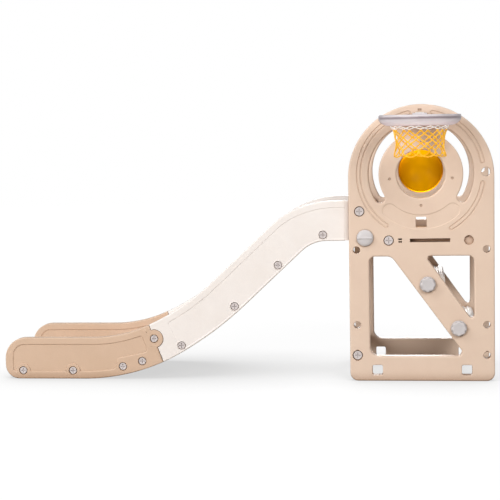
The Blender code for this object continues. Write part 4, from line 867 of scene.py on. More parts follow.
def tread_places():
    """Upper and lower tread: the upper one halfway up to the deck, both on the slanted strut."""
    low_height = OPENING_TOP_Z - OPENING_BOTTOM_Z
    low_lean = (LOW_OPENING_FOOT_X - LOW_OPENING_TOP_X) / low_height
    high_height = HIGH_OPENING_TOP_Z - HIGH_OPENING_FOOT_Z
    high_lean = (OPENING_HALF_LENGTH - HIGH_OPENING_TOP_X) / high_height
    places = []
    for z, share in (
        ((LOWER_TREAD_Z + DECK_Z) / 2, UPPER_TREAD_SHARE),
        (LOWER_TREAD_Z, LOWER_TREAD_SHARE),
    ):
        front = LOW_OPENING_TOP_X + (OPENING_TOP_Z - z) * low_lean
        back = HIGH_OPENING_TOP_X + (HIGH_OPENING_TOP_Z - z) * high_lean
        places.append((front + (back - front) * share, z))
    return places


def panel_loops():
    outline = rounded([
        (-HALF_LENGTH, 0.0, PANEL_FOOT_RADIUS),
        (HALF_LENGTH, 0.0, PANEL_FOOT_RADIUS),
        (HALF_LENGTH, ARCH_CENTRE_Z, 0.0),
        (-HALF_LENGTH, ARCH_CENTRE_Z, 0.0),
    ])[:-2]
    outline += arc((0.0, ARCH_CENTRE_Z), HALF_LENGTH, 0.0, 180.0, ARCH_STEPS)
    ring = (0.0, RING_Z)
    grips = [
        ring_band(ring, GRIP_INNER_RADIUS, GRIP_OUTER_RADIUS, start, end)
        for start, end in (
            (GRIP_LOW_ANGLE, GRIP_HIGH_ANGLE),
            (180.0 - GRIP_HIGH_ANGLE, 180.0 - GRIP_LOW_ANGLE),
        )
    ]
    porthole = circle(ring, PORTHOLE_RADIUS, PORTHOLE_STEPS)
    return [outline] + opening_loops() + [porthole] + grips


def hook_slot_box():
    """x and z limits of the hoop's slot in a panel."""
    low = HOOK_TOP_Z - HOOK_TAB_HEIGHT - GAP
    high = HOOK_TOP_Z + HOOK_SLOT_SPARE
    return HOOP_X - HOOK_SLOT_WIDTH / 2, HOOP_X + HOOK_SLOT_WIDTH / 2, low, high


def panel_screw_places():
    """Centre of each panel screw: in the slide's tongue, in the deck and in the cross bar."""
    return (
        (TONGUE_SCREW_X, TONGUE_SCREW_Z),
        (DECK_SCREW_X, DECK_Z),
        (-COLUMN_HOLE_X, COLUMN_FOOT_Z),
    )


def bubble_screw_places():
    tilt = BUBBLE_SCREW_TILT
    angles = (tilt, 90.0, 180.0 - tilt, 270.0)
    return [polar(BUBBLE_SCREW_CIRCLE, angle, (0.0, RING_Z)) for angle in angles]


def inner_span():
    """y limits of what fills the room between the panels."""
    return INNER_Y + GAP, TOWER_WIDTH - INNER_Y - GAP


def tread_outline(x, z):
    """Rounded tread section with grip ribs along its top."""
    back, front = x - TREAD_BACK, x + TREAD_FRONT
    low, high = z - TREAD_DROP, z + TREAD_RISE
    ribs = []
    run = (front - back - 2 * TREAD_RADIUS) / TREAD_RIB_COUNT
    for i in range(TREAD_RIB_COUNT):
        start = front - TREAD_RADIUS - run * i
        for share, lift in ((0.2, 0.0), (0.35, 1.0), (0.65, 1.0), (0.8, 0.0)):
            ribs.append((start - run * share, high + lift * TREAD_RIB_HEIGHT, 0.0))
    corners = [(back, low, TREAD_RADIUS), (front, low, TREAD_RADIUS), (front, high, TREAD_RADIUS)]
    return rounded(corners + ribs + [(back, high, TREAD_RADIUS)])


def rail_parts():
    """Outlines of the lower and the upper rail, split along the joint."""
    joint_low, joint_high = joint_line()
    under_line = UNDER.offset(0.0)
    over_line = OVER.offset(0.0)
    foot_x = FOOT_END_X - FOOT_RUN
    corners = rounded([
        (OVER.points[1][0], RAIL_FOOT_HEIGHT, 0.0),
        (foot_x, RAIL_FOOT_HEIGHT, RAIL_FOOT_TOP_RADIUS),
        (foot_x, 0.0, RAIL_FOOT_LOW_RADIUS),
        (FOOT_END_X, 0.0, 0.0),
    ])
    lower = corners[:-1]
    lower += before_x(under_line[1:], joint_low[0])
    lower += list(reversed(before_x(over_line[1:], joint_high[0])[1:]))
    upper = after_x(under_line, joint_low[0] + 2 * GAP)
    upper = upper[:-1] + [(HEAD_END_X, RAIL_HEAD_Z), (HEAD_END_X, RAIL_HEAD_Z + RAIL_HEAD_HEIGHT)]
    upper += list(reversed(after_x(over_line[:-1], joint_high[0] + 2 * GAP)))
    return lower, upper


def lower_screw_spots():
    return [edge_spot(run, LOWER_SCREW_LIFT) for run in LOWER_RAIL_SCREW_RUNS]


def upper_screw_spots():
    """Spots shared out between the joint and the head's flat end."""
    length = UNDER.points[-1][0] - FOOT_END_X - JOINT_UNDER_RUN
    runs = [JOINT_UNDER_RUN + length * share for share in UPPER_RAIL_SCREW_SHARES]
    return [edge_spot(run, UPPER_SCREW_LIFT) for run in runs]


def tongue_loop():
    """Side view of the tongue that runs between the side panels, with its lug for the lock."""
    low = RAIL_HEAD_Z + TONGUE_INSET
    high = RAIL_HEAD_Z + RAIL_HEAD_HEIGHT - TONGUE_INSET
    start = HEAD_END_X - TONGUE_RADIUS
    inside = -HALF_LENGTH + PANEL_EDGE_RADIUS
    lug = RAIL_HEAD_Z - TONGUE_LUG_DROP
    return rounded([
        (start, low, 0.0),
        (inside, low, 0.0),
        (inside, lug, 0.0),
        (TONGUE_END_X, lug, PANEL_EDGE_RADIUS),
        (TONGUE_END_X, high, TONGUE_RADIUS),
        (start, high, 0.0),
    ])


def lock_slot_loop():
    """Keyhole in the tongue that lets the lock bar through when it lies level."""
    length = LOCK_BAR_HALF_LENGTH + LOCK_SLOT_CLEARANCE
    half = LOCK_BAR_WIDTH / 2 + LOCK_SLOT_CLEARANCE
    return box((LOCK_X, LOCK_Z), 2 * length, 2 * half, half * END_ROUNDING)


def bed_lines():
    return UNDER.offset(BED_LIFT), UNDER.offset(BED_LIFT + BED_THICKNESS)


def bed_joint_x():
    """x where the joint between the two beds crosses the under and upper side of the bed."""
    low, high = joint_line()
    lean = (high[0] - low[0]) / (high[1] - low[1])
    places = []
    for line in bed_lines():
        x = low[0]
        for _ in range(4):
            x = low[0] + lean * (at_x(line, x)[1] - low[1])
        places.append(x)
    return places


def bed_span():
    """y limits of the beds, between the rails."""
    return RAIL_INNER_Y + GAP, TOWER_WIDTH - RAIL_INNER_Y - GAP


def net_radius(drop):
    """Radius of the net at a depth below its top row: waisted, and opening again at its hem."""
    waist_drop = NET_ROW_DROPS[1]
    hem_drop = NET_ROW_DROPS[-1]
    if drop <= waist_drop:
        share = math.sin(math.pi / 2 * drop / waist_drop)
        return NET_TOP_RADIUS + (NET_WAIST_RADIUS - NET_TOP_RADIUS) * share
    share = (drop - waist_drop) / (hem_drop - waist_drop)
    return NET_WAIST_RADIUS + (NET_HEM_RADIUS - NET_WAIST_RADIUS) * share ** 2


def hoop_profile():
    """Dished rim section as (radius, height), round its outer skin and back along its inner skin."""
    low = HOOP_TOP_Z - HOOP_DEPTH
    floor = HOOP_RADIUS - HOOP_FLOOR_INSET
    outer = [(HOOP_RADIUS - inset, HOOP_TOP_Z - drop) for inset, drop in HOOP_SECTION]
    rise = (HOOP_DEPTH - HOOP_WALL) / HOOP_DEPTH
    inner = [
        (HOOP_RADIUS - inset - HOOP_WALL, HOOP_TOP_Z - drop * rise)
        for inset, drop in reversed(HOOP_SECTION)
    ]
    flange = [(floor, low), (HOOP_MOUTH_RADIUS, low), (HOOP_MOUTH_RADIUS, low + HOOP_WALL)]
    return outer + flange + [(floor, low + HOOP_WALL)] + inner


# Materials

def feed(tree, node, inputs):
    """Give inputs of a node, by name or number, the link from a socket or a value."""
    for name, value in inputs.items():
        if isinstance(value, bpy.types.NodeSocket):
            tree.links.new(value, node.inputs[name])
        else:
            node.inputs[name].default_value = value


def add_node(tree, kind, inputs=(), **settings):
    node = tree.nodes.new("ShaderNode" + kind)
    for name, value in settings.items():
        setattr(node, name, value)
    feed(tree, node, dict(inputs))
    return node


def maths(tree, operation, *values):
    return add_node(tree, "Math", enumerate(values), operation=operation).outputs[0]


def ranged(tree, source, low, high, new_low, new_high):
    """Float socket with the span from low to high mapped to a new one."""
    limits = {"From Min": low, "From Max": high, "To Min": new_low, "To Max": new_high}
    return add_node(tree, "MapRange", {"Value": source, **limits}).outputs["Result"]


def off_flat(tree):
    """0 on faces square to an axis, whose large triangles would smear a value kept at their corners."""
    normal = add_node(tree, "NewGeometry").outputs["True Normal"]
    split = add_node(tree, "SeparateXYZ", {0: normal}).outputs
    sizes = [maths(tree, "ABSOLUTE", output) for output in split]
    largest = maths(tree, "MAXIMUM", maths(tree, "MAXIMUM", sizes[0], sizes[1]), sizes[2])
    return ranged(tree, largest, 0.9985, 0.9995, 1.0, 0.0)


def noise(tree, coordinates, scale, detail=2.0, rough=0.5):
    inputs = {"Vector": coordinates, "Scale": scale, "Detail": detail, "Roughness": rough}
    return add_node(tree, "TexNoise", inputs).outputs["Fac"]


def mixed(tree, factor, first, second):
    """Colour mix by a float socket; each colour is a socket or an sRGB triple."""
    node = add_node(tree, "Mix", {"Factor": factor}, data_type="RGBA")
    for name, colour in (("A", first), ("B", second)):
        socket = [item for item in node.inputs if item.name == name and item.type == "RGBA"][0]
        if isinstance(colour, tuple):
            socket.default_value = tuple(linear(value) for value in colour) + (1.0,)
        else:
            tree.links.new(colour, socket)
    return [item for item in node.outputs if item.type == "RGBA"][0]


def bumped(tree, height, strength, distance, under=None):
    """Normal of a bump, on top of the normal under it where there is one."""
    inputs = {"Height": height, "Strength": strength, "Distance": distance}
    if under is not None:
        inputs["Normal"] = under
    return add_node(tree, "Bump", inputs).outputs["Normal"]


def new_material(name):
    """Material with its tree, its shader and its place on the object."""
    mat = bpy.data.materials.new(name)
    mat.use_nodes = True
    tree = mat.node_tree
    place = add_node(tree, "TexCoord").outputs["Object"]
    return mat, tree, tree.nodes["Principled BSDF"], place


def plastic(name, colour, shade, light, painted_shade_tone, rough, inner=0.0):
    """Moulded plastic: faint mottling, corners painted lighter as wear and painted highlight, painted
    shade in its hollows, uneven gloss, a fine grain, an optional painted glow.
    """
    mat, tree, shader, place = new_material(name)
    mottle = ranged(tree, noise(tree, place, 9.0, 4.0, 0.6), 0.35, 0.65, 0.0, 1.0)
    speck = ranged(tree, noise(tree, place, 420.0), 0.62, 0.72, 0.0, 0.35)
    # Sharp corners painted lighter: partly wear, partly a painted highlight on the rims.
    corner = add_node(tree, "NewGeometry").outputs["Pointiness"]
    wear_and_edge_highlight = maths(tree, "MULTIPLY", ranged(tree, corner, 0.515, 0.60, 0.0, 0.7), off_flat(tree))
    # Painted shade: ambient occlusion darkens hollows, recesses and the room between parts towards the
    # shade tone.
    cover = add_node(tree, "AmbientOcclusion", {"Distance": 0.045}, samples=8).outputs["AO"]
    painted_hollow_shade = ranged(tree, cover, 0.25, 0.92, 0.88, 0.0)
    base = colour
    for share, tone in ((mottle, shade), (speck, shade), (wear_and_edge_highlight, light), (painted_hollow_shade, painted_shade_tone)):
        base = mixed(tree, share, base, tone)
    stretch = add_node(tree, "Mapping", {"Scale": (3.0, 40.0, 12.0), "Vector": place})
    scuff = noise(tree, stretch.outputs["Vector"], 6.0, 6.0, 0.65)
    grain = bumped(tree, noise(tree, place, 1400.0), 0.5, 0.00012)
    # Painted glow: the plastic gives off light of its own colour, brightening parts that sit in shade.
    if inner:
        feed(tree, shader, {"Emission Color": base, "Emission Strength": inner})
    feed(tree, shader, {
        "Base Color": base,
        "Roughness": ranged(tree, scuff, 0.3, 0.7, rough - 0.07, rough + 0.09),
        "Normal": bumped(tree, noise(tree, place, 14.0), 0.25, 0.0003, grain),
        "Specular IOR Level": 0.4,
    })
    return mat


def see_through(name, colour, shade, painted_shade_tone, rough, clear, bend, side=None, painted_shade_band=None, painted_glow_span=None):
    """Tinted or frosted moulding with painted shade towards its grazing edges, its sides or in a band,
    and a painted glow from below.
    """
    mat, tree, shader, place = new_material(name)
    cloud = ranged(tree, noise(tree, place, 18.0, 3.0, 0.6), 0.3, 0.7, 0.0, 1.0)
    facing = add_node(tree, "LayerWeight").outputs["Facing"]
    split = add_node(tree, "SeparateXYZ", {0: place}).outputs
    base = mixed(tree, cloud, colour, shade)
    # Painted shade: darker at grazing angles, where a thicker tinted wall is seen.
    base = mixed(tree, ranged(tree, facing, 0.45, 0.95, 0.0, 1.0), base, painted_shade_tone)
    # Painted shade: darker towards the left and right of an x (side) and in a level band at a given
    # height.
    for axis, middle, near, far in ((0, side, 0.025, 0.085), (2, painted_shade_band, 0.0055, 0.0015)):
        if middle is not None:
            reach = maths(tree, "ABSOLUTE", maths(tree, "SUBTRACT", split[axis], middle))
            base = mixed(tree, ranged(tree, reach, near, far, 0.0, 1.0), base, painted_shade_tone)
    # Painted glow: emission strongest at the low height and gone at the high one, standing in for light
    # coming up through the wall.
    if painted_glow_span is not None:
        low, high, strength = painted_glow_span
        painted_glow = ranged(tree, split[2], low, high, strength, 0.0)
        feed(tree, shader, {"Emission Color": base, "Emission Strength": painted_glow})
    haze = noise(tree, place, 30.0, 3.0)
    feed(tree, shader, {
        "Base Color": base,
        "Roughness": ranged(tree, haze, 0.3, 0.7, rough * 0.85, rough * 1.2),
        "Transmission Weight": clear,
        "IOR": bend,
        "Normal": bumped(tree, noise(tree, place, 30.0, 1.0), 0.1, 0.0002),
    })
    return mat


def fibre(name, colour, shade, light, painted_glow):
    """Braided cord: crossing plaits with painted shade in their hollows, lighter fuzz, and a painted
    glow.
    """
    mat, tree, shader, place = new_material(name)
    wave = {"Scale": 260.0, "Distortion": 2.0, "Vector": place}
    plait = add_node(tree, "TexWave", wave, bands_direction="DIAGONAL").outputs["Fac"]
    hair = noise(tree, place, 1800.0, 3.0, 0.7)
    # Painted shade: the plait's hollows take the darker tone.
    base = mixed(tree, ranged(tree, plait, 0.1, 0.8, 0.0, 1.0), shade, colour)
    base = mixed(tree, ranged(tree, hair, 0.5, 0.75, 0.0, 0.7), base, light)
    # Emission of the cord's own colour is a painted glow.
    feed(tree, shader, {
        "Base Color": base,
        "Roughness": ranged(tree, hair, 0.3, 0.7, 0.62, 0.85),
        "Normal": bumped(tree, hair, 0.5, 0.0003, bumped(tree, plait, 0.8, 0.0005)),
        "Sheen Weight": 0.3,
        "Emission Color": base,
        "Emission Strength": painted_glow,
    })
    return mat


# Camera, light and floor

def add_camera():
    """Camera at the photograph's standpoint, turned by yaw, pitch and a small roll."""
    yaw, pitch, roll = CAMERA_YAW, CAMERA_PITCH, CAMERA_ROLL
    flat = math.cos(pitch)
    ahead = Vector((-math.sin(yaw) * flat, math.cos(yaw) * flat, -math.sin(pitch)))
    level = Vector((math.cos(yaw), math.sin(yaw), 0.0))
    up = level.cross(ahead)
    right = level * math.cos(roll) + up * math.sin(roll)
    top = up * math.cos(roll) - level * math.sin(roll)
    data = bpy.data.cameras.new("camera")
    data.sensor_width = 36.0
    data.lens = CAMERA_LENS
    data.clip_end = 60.0
    camera = placed("camera", data)
    x, y, z = CAMERA_PLACE
    spot = Matrix.Translation((TOWER_X + x, TOWER_Y + y, z))
    camera.matrix_world = spot @ Matrix((right, top, -ahead)).transposed().to_4x4()
    bpy.context.scene.camera = camera


def add_lamp(name, turn, rise, power):
    """Large soft lamp, aimed at the object, that the camera doesn't see."""
    data = bpy.data.lights.new(name, "AREA")
    data.shape = "DISK"
    data.size = LAMP_SIZE
    data.energy = power
    x, y = polar(math.cos(math.radians(rise)), turn - 90.0)
    way = Vector((x, y, math.sin(math.radians(rise))))
    lamp = placed(name, data)
    lamp.visible_camera = False
    lamp.location = Vector(LAMP_AIM) + way * LAMP_DISTANCE
    lamp.rotation_euler = way.to_track_quat("Z", "Y").to_euler()


def seen_factor(tree):
    """1 for camera, glossy and transmission rays, which meet the plain white background."""
    path = add_node(tree, "LightPath").outputs
    first = maths(tree, "MAXIMUM", path["Is Camera Ray"], path["Is Glossy Ray"])
    return maths(tree, "MAXIMUM", first, path["Is Transmission Ray"])


def add_world():
    world = bpy.data.worlds.new("studio")
    world.use_nodes = True
    bpy.context.scene.world = world
    tree = world.node_tree
    fill = tree.nodes["Background"]
    white = add_node(tree, "Background")
    for background, strength in ((fill, WORLD_FILL), (white, 1.0)):
        feed(tree, background, {"Color": (1.0, 1.0, 1.0, 1.0), "Strength": strength})
    shaders = {0: seen_factor(tree), 1: fill.outputs[0], 2: white.outputs[0]}
    feed(tree, tree.nodes["World Output"], {0: add_node(tree, "MixShader", shaders).outputs[0]})


def add_floor():
    """Round pale floor with a painted soft shadow, from occlusion, that fades into the white background.
    """
    shape = bmesh.new()
    bmesh.ops.create_circle(shape, cap_ends=True, segments=96, radius=FLOOR_RADIUS)
    floor = placed("floor", made_mesh(shape, "floor"))
    mat, tree, shader, place = new_material("floor_paper")
    paper = noise(tree, place, 40.0, 3.0)
    seen = mixed(tree, paper, (245, 245, 246), (248, 248, 249))
    bounced = mixed(tree, paper, (152, 136, 118), (156, 140, 122))
    base = mixed(tree, seen_factor(tree), bounced, seen)
    feed(tree, shader, {"Base Color": base, "Roughness": 0.9, "Specular IOR Level": 0.1})
    # Painted shadow: seen by the camera the floor glows white, dimmed towards FLOOR_SHADE where
    # occlusion finds the object close.
    reach = {"Distance": FLOOR_SHADE_REACH}
    cover = add_node(tree, "AmbientOcclusion", reach, samples=24).outputs["AO"]
    painted_shadow_strength = ranged(tree, cover, 0.35, 0.97, FLOOR_SHADE, FLOOR_WHITE)
    white = add_node(tree, "Emission", {"Strength": painted_shadow_strength})
    length = add_node(tree, "VectorMath", {0: place}, operation="LENGTH").outputs["Value"]
    far = ranged(tree, length, FLOOR_FADE_START, FLOOR_FADE_END, FLOOR_LIFT, 1.0)
    share = maths(tree, "MULTIPLY", far, seen_factor(tree))
    blend = add_node(tree, "MixShader", {0: share, 1: shader.outputs[0], 2: white.outputs[0]})
    feed(tree, tree.nodes["Material Output"], {0: blend.outputs[0]})
    floor.data.materials.append(mat)


# Side panels

def shallow_loops():
    """Recessed loops in a panel's outer face, as (loop, depth, slope)."""
    low, high = 270.0 - BADGE_HALF_ANGLE, 270.0 + BADGE_HALF_ANGLE
    badge = ring_band((0.0, RING_Z), BADGE_INNER_RADIUS, BADGE_OUTER_RADIUS, low, high)
    half = HOOK_MARK_WIDTH / 2
    mark_low = hook_slot_box()[3] + BADGE_DEPTH
    mark = rectangle(HOOP_X - half, HOOP_X + half, mark_low, mark_low + HOOK_MARK_HEIGHT, 0.001)
    spare = circle((SPARE_RECESS_X, DECK_Z), SPARE_RECESS_RADIUS)
    loops = [
        (badge, BADGE_DEPTH, RECESS_SLOPE),
        (mark, 0.0045, 0.0006),
        (spare, SPARE_RECESS_DEPTH, 0.0006),
    ]
    for side, lift in FOOT_MARKS:
        centre = (side * COLUMN_HOLE_X, COLUMN_FOOT_Z + lift)
        loops.append((box(centre, FOOT_MARK_WIDTH, FOOT_MARK_HEIGHT, 0.0005), 0.003, 0.0003))
    return loops


def small_hole_loops():
    """Holes with softened rims: along the columns, beside the ring and at the foot."""
    places = [(x, z) for x in (-COLUMN_HOLE_X, COLUMN_HOLE_X) for z in (COLUMN_HIGH_Z, COLUMN_LOW_Z)]
    places.append((COLUMN_HOLE_X, COLUMN_FOOT_Z))
    loops = [circle(place, COLUMN_HOLE_RADIUS) for place in places]
    loops.append(circle((SIDE_HOLE_X, RING_Z + SIDE_HOLE_LIFT), SIDE_HOLE_RADIUS))
    for x in (-STAKE_HOLE_X, STAKE_HOLE_X):
        loops.append(box((x, STAKE_HOLE_Z), STAKE_HOLE_SIDE, STAKE_HOLE_SIDE, STAKE_HOLE_RADIUS))
    return loops


def sharp_hole_loops():
    """Slots and bores with plain edges."""
    spare = SHAFT_CLEARANCE
    loops = [circle(place, PANEL_SCREW_SHANK_RADIUS + spare) for place in panel_screw_places()]
    loops.append(circle((LOCK_X, LOCK_Z), LOCK_SHAFT_RADIUS + spare))
    loops += [circle(place, TREAD_STUD_RADIUS + spare) for place in tread_places()]
    window = (0.0, RING_Z - WINDOW_SLOT_DROP)
    loops.append(box(window, WINDOW_SLOT_WIDTH, WINDOW_SLOT_HEIGHT, 0.0015))
    half = DECK_TAB_THICKNESS / 2 + GAP
    low, high = DECK_Z - half, DECK_Z + half
    loops.append(rectangle(DECK_TAB_FRONT_X, DECK_TAB_BACK_X, low, high, SLOT_CORNER_RADIUS))
    for step in (-1, 1):
        middle = (BELT_SLOT_X, DECK_Z + step * (BELT_SLOT_BAR + BELT_SLOT_HEIGHT) / 2)
        loops.append(box(middle, BELT_SLOT_WIDTH, BELT_SLOT_HEIGHT, 0.001))
    loops.append(rectangle(*hook_slot_box()))
    return loops


def band_grooves():
    """Tool for the bands, each a raised strip between two narrow channels."""
    lean = RECESS_SLOPE
    parts = []
    for start, end in BAND_ARCS:
        outer = ring_band((0.0, RING_Z), BAND_INNER_RADIUS, BAND_OUTER_RADIUS, start, end)
        strip = stretched(outer, -BAND_CHANNEL)
        parts.append([
            (stretched(outer, lean), -BAND_DEPTH),
            (stretched(outer, lean * 0.6), 0.0),
            (stretched(outer, -lean), BAND_DEPTH),
            (stretched(strip, lean), BAND_DEPTH),
            (stretched(strip, -lean * 0.6), 0.0),
            (stretched(strip, -lean), -BAND_DEPTH),
        ])
    return lofts_mesh(parts, closed=True)


def side_panel_mesh(far):
    """Panel with softened rims on every opening, double-lined bands and its shallow recesses."""
    mesh = plate_mesh(panel_loops(), 0.0, PANEL_THICKNESS, PANEL_EDGE_RADIUS)
    through = [
        straight(loop, -CUT_MARGIN, PANEL_THICKNESS + CUT_MARGIN) for loop in sharp_hole_loops()
    ]
    for loop in small_hole_loops():
        near = [(stretched(loop, out), y) for out, y in HOLE_RIM]
        through.append(near + [(rim, PANEL_THICKNESS - y) for rim, y in reversed(near)])
    recesses = [hollow(loop, 0.0, depth, slope) for loop, depth, slope in shallow_loops()]
    sunk = PANEL_SCREW_HEAD + SCREW_RECESS + GAP
    for place in panel_screw_places():
        seat = circle(place, PANEL_SCREW_HEAD_RADIUS + SEAT_SPARE)
        recesses.append(hollow(seat, 0.0, sunk, RECESS_SLOPE))
    radius = BUBBLE_SCREW_SHANK_RADIUS + GAP if far else PILOT_RADIUS
    depth = PILOT_DEPTH if far else PILOT_DIMPLE
    for place in bubble_screw_places():
        recesses.append(hollow(circle(place, radius), 0.0, depth, 0.0005))
    return cut(mesh, lofts_mesh(recesses), band_grooves(), lofts_mesh(through))


# Deck, cross bar, treads

def deck_mesh():
    """Deck with its two tabs, the groove for the slide's hook and fine ribs."""
    low, high = DECK_TOP_Z - DECK_THICKNESS, DECK_TOP_Z
    y0, y1 = inner_span()
    outline = rectangle(DECK_FRONT_X, DECK_BACK_X, low, high, DECK_CORNER_RADIUS)
    half = DECK_TAB_THICKNESS / 2
    left, right = DECK_TAB_FRONT_X + GAP, DECK_TAB_BACK_X - GAP
    tab = rectangle(left, right, DECK_Z - half, DECK_Z + half, SLOT_CORNER_RADIUS)
    mesh = join(
        plate_mesh([outline], y0, y1, PLAIN_EDGE),
        plate_mesh([tab], y0 - DECK_TAB_REACH, y1 + DECK_TAB_REACH, THIN_EDGE),
    )
    half = DECK_GROOVE_WIDTH / 2
    left, right = DECK_GROOVE_X - half, DECK_GROOVE_X + half
    groove = rectangle(left, right, high - DECK_GROOVE_DEPTH, high + CUT_OVER, 0.002)
    tools = [straight(groove, y0 - CUT_OVER, y1 + CUT_OVER)]
    for x in DECK_RIB_PLACES:
        line = rounded([
            (x - 0.002, high - 0.0012, 0.0008), (x + 0.002, high - 0.0012, 0.0008),
            (x + 0.0035, high + 0.002, 0.0), (x - 0.0035, high + 0.002, 0.0),
        ])
        tools.append(straight(line, y0 + DECK_RIB_SETBACK, y1 - DECK_RIB_SETBACK))
    return cut(mesh, lofts_mesh(tools))


def cross_bar_mesh():
    centre = (-COLUMN_HOLE_X, COLUMN_FOOT_Z)
    outline = box(centre, CROSS_BAR_WIDTH, CROSS_BAR_HEIGHT, CROSS_BAR_RADIUS)
    return plate_mesh([outline], *inner_span(), CROSS_BAR_EDGE)


def tread_mesh(place):
    mesh = plate_mesh([tread_outline(*place)], *inner_span(), PLAIN_EDGE, 2)
    stud = circle(place, TREAD_STUD_RADIUS)
    end = TREAD_STUD_REACH
    return join(mesh, plate_mesh([stud], -end, TOWER_WIDTH + end, SMALL_EDGE, 2))


def nut_mesh(place):
    """Cap nut with softly rounded lobes, a flat end and a flange with two small nicks."""
    bore = TREAD_STUD_RADIUS + SHAFT_CLEARANCE
    profile = [
        (bore, -TREAD_STUD_REACH - 2 * GAP),
        (bore, -GAP),
        (NUT_FLANGE_RADIUS - 0.0008, -GAP),
        (NUT_FLANGE_RADIUS, -0.0010),
        (NUT_FLANGE_RADIUS, -NUT_FLANGE_HEIGHT + 0.0010),
        (NUT_FLANGE_RADIUS - 0.0010, -NUT_FLANGE_HEIGHT),
        (NUT_RADIUS, -NUT_FLANGE_HEIGHT - GAP, True),
    ]
    for inset, drop in ((0.0, 0.0040), (0.0006, 0.0020), (0.0020, 0.0006), (0.0036, 0.0)):
        profile.append((NUT_RADIUS - inset, -NUT_HEIGHT + drop, True))
    for radius, drop in ((0.0130, 0.0), (0.0122, 0.0004), (0.0030, 0.0004)):
        profile.append((radius, -NUT_HEIGHT + drop))
    nicks = []
    for angle in (52.0, 232.0):
        nick = circle(polar(NUT_FLANGE_RADIUS, angle), 0.0016)
        nicks.append(straight(nick, -NUT_FLANGE_HEIGHT - 0.001, -NUT_FLANGE_HEIGHT * 0.3))
    mesh = cut(turned_mesh(profile, 12 * NUT_LOBES, start=0.0), lofts_mesh(nicks))
    return moved(mesh, place[0], 0.0, place[1])


# Slide

def between(line, start, end):
    return [point for point in line if start < point[0] < end]


def lower_field_loop():
    """Outline of the shallow field pressed into a lower rail."""
    start = FOOT_END_X
    foot_x = start - FOOT_RUN
    high = OVER.offset(-FIELD_HIGH_INSET)
    low = UNDER.offset(FIELD_LOW_INSET)
    nose = rounded([
        (start, RAIL_FOOT_HEIGHT - FIELD_HIGH_INSET, 0.0),
        (foot_x + FIELD_NOSE_INSET, RAIL_FOOT_HEIGHT - FIELD_HIGH_INSET, FIELD_NOSE_RADIUS),
        (foot_x + FIELD_NOSE_INSET, FIELD_LOW_INSET, SMALL_CORNER_RADIUS),
        (start, FIELD_LOW_INSET, 0.0),
    ])
    tail = [(start + run, z, radius) for run, z, radius in FIELD_TAIL]
    bottom = between(low[2:], start, tail[0][0] - GAP)
    top = between(high[2:], start, tail[-1][0] - 2 * SMALL_CORNER_RADIUS)
    end = rounded([(*bottom[-1], 0.0)] + tail + [(*top[-1], 0.0)])
    return nose[1:] + bottom[:-1] + end + list(reversed(top[:-1]))


def upper_field_loop():
    """Outline of the field of an upper rail, open towards the tower."""
    start = OVER.points[1][0] + UPPER_FIELD_RUN
    end = HEAD_END_X + HEAD_SPARE / 2
    high = between(OVER.offset(-FIELD_HIGH_INSET), start, end)
    low = between(UNDER.offset(UPPER_FIELD_LOW_INSET), start + UPPER_FIELD_LEAN, end)
    corners = rounded([
        (*high[1], 0.0),
        (*high[0], SMALL_CORNER_RADIUS / 2),
        (*low[0], SMALL_CORNER_RADIUS),
        (*low[1], 0.0),
    ])
    return corners + low[2:] + [(end, low[-1][1]), (end, high[-1][1])] + list(reversed(high[2:]))


def fielded_plate(outline, field, depth):
    """Rail plate with the same shallow field, softly shouldered, in both of its faces."""
    border = plate_mesh([outline, field], RAIL_SETBACK, RAIL_INNER_Y, RAIL_EDGE_RADIUS)
    low, high = RAIL_SETBACK + depth, RAIL_INNER_Y - depth
    core = plate_mesh([stretched(field, RAIL_EDGE_RADIUS * 1.4)], low, high, THIN_EDGE, 1)
    return join(border, core)


def lands_mesh(spots, radius):
    """Raised round seats that the screws keep in the field, a hair inside the rail's faces."""
    low, high = RAIL_SETBACK + GAP / 3, RAIL_INNER_Y - GAP / 3
    return merged([plate_mesh([circle(spot, radius, 56)], low, high, FIELD_SLOPE, 3) for spot in spots])


def screw_seats(spots):
    """Tool that bores a rail's screw holes and their seats, for a piece on the near side."""
    sunk = SCREW_RECESS + RAIL_SCREW_HEAD + GAP
    parts = []
    for spot in spots:
        head = circle(spot, RAIL_SCREW_HEAD_RADIUS + SEAT_SPARE)
        shank = circle(spot, RAIL_SCREW_SHANK_RADIUS + GAP)
        bore = straight(shank, RAIL_SETBACK + sunk, RAIL_INNER_Y + CUT_MARGIN)
        parts.append(hollow(head, RAIL_SETBACK, sunk, 0.0010) + bore)
    return lofts_mesh(parts)


def shaved(mesh):
    """Rail without the faces that a cut's tool left standing in front of it."""
    def drop_stray(shape):
        stray = [vert for vert in shape.verts if vert.co.y < RAIL_SETBACK - GAP]
        bmesh.ops.delete(shape, geom=stray, context="VERTS")

    return reworked(mesh, drop_stray)


def lower_rail_mesh():
    """Lower rail with its field, its round tab and two seats that stand in the field."""
    outline, _ = rail_parts()
    centre = joint_tab_centre()
    spots = lower_screw_spots()
    tab_y = RAIL_SETBACK + JOINT_TAB_THICKNESS
    mesh = join(
        fielded_plate(outline, lower_field_loop(), LOWER_FIELD_DEPTH),
        plate_mesh([circle(centre, JOINT_TAB_RADIUS, 64)], RAIL_SETBACK, tab_y, PLAIN_EDGE, 2),
        lands_mesh(spots[:2], RAIL_SCREW_HEAD_RADIUS + FIELD_LAND),
    )
    return shaved(cut(mesh, screw_seats(spots + [centre])))


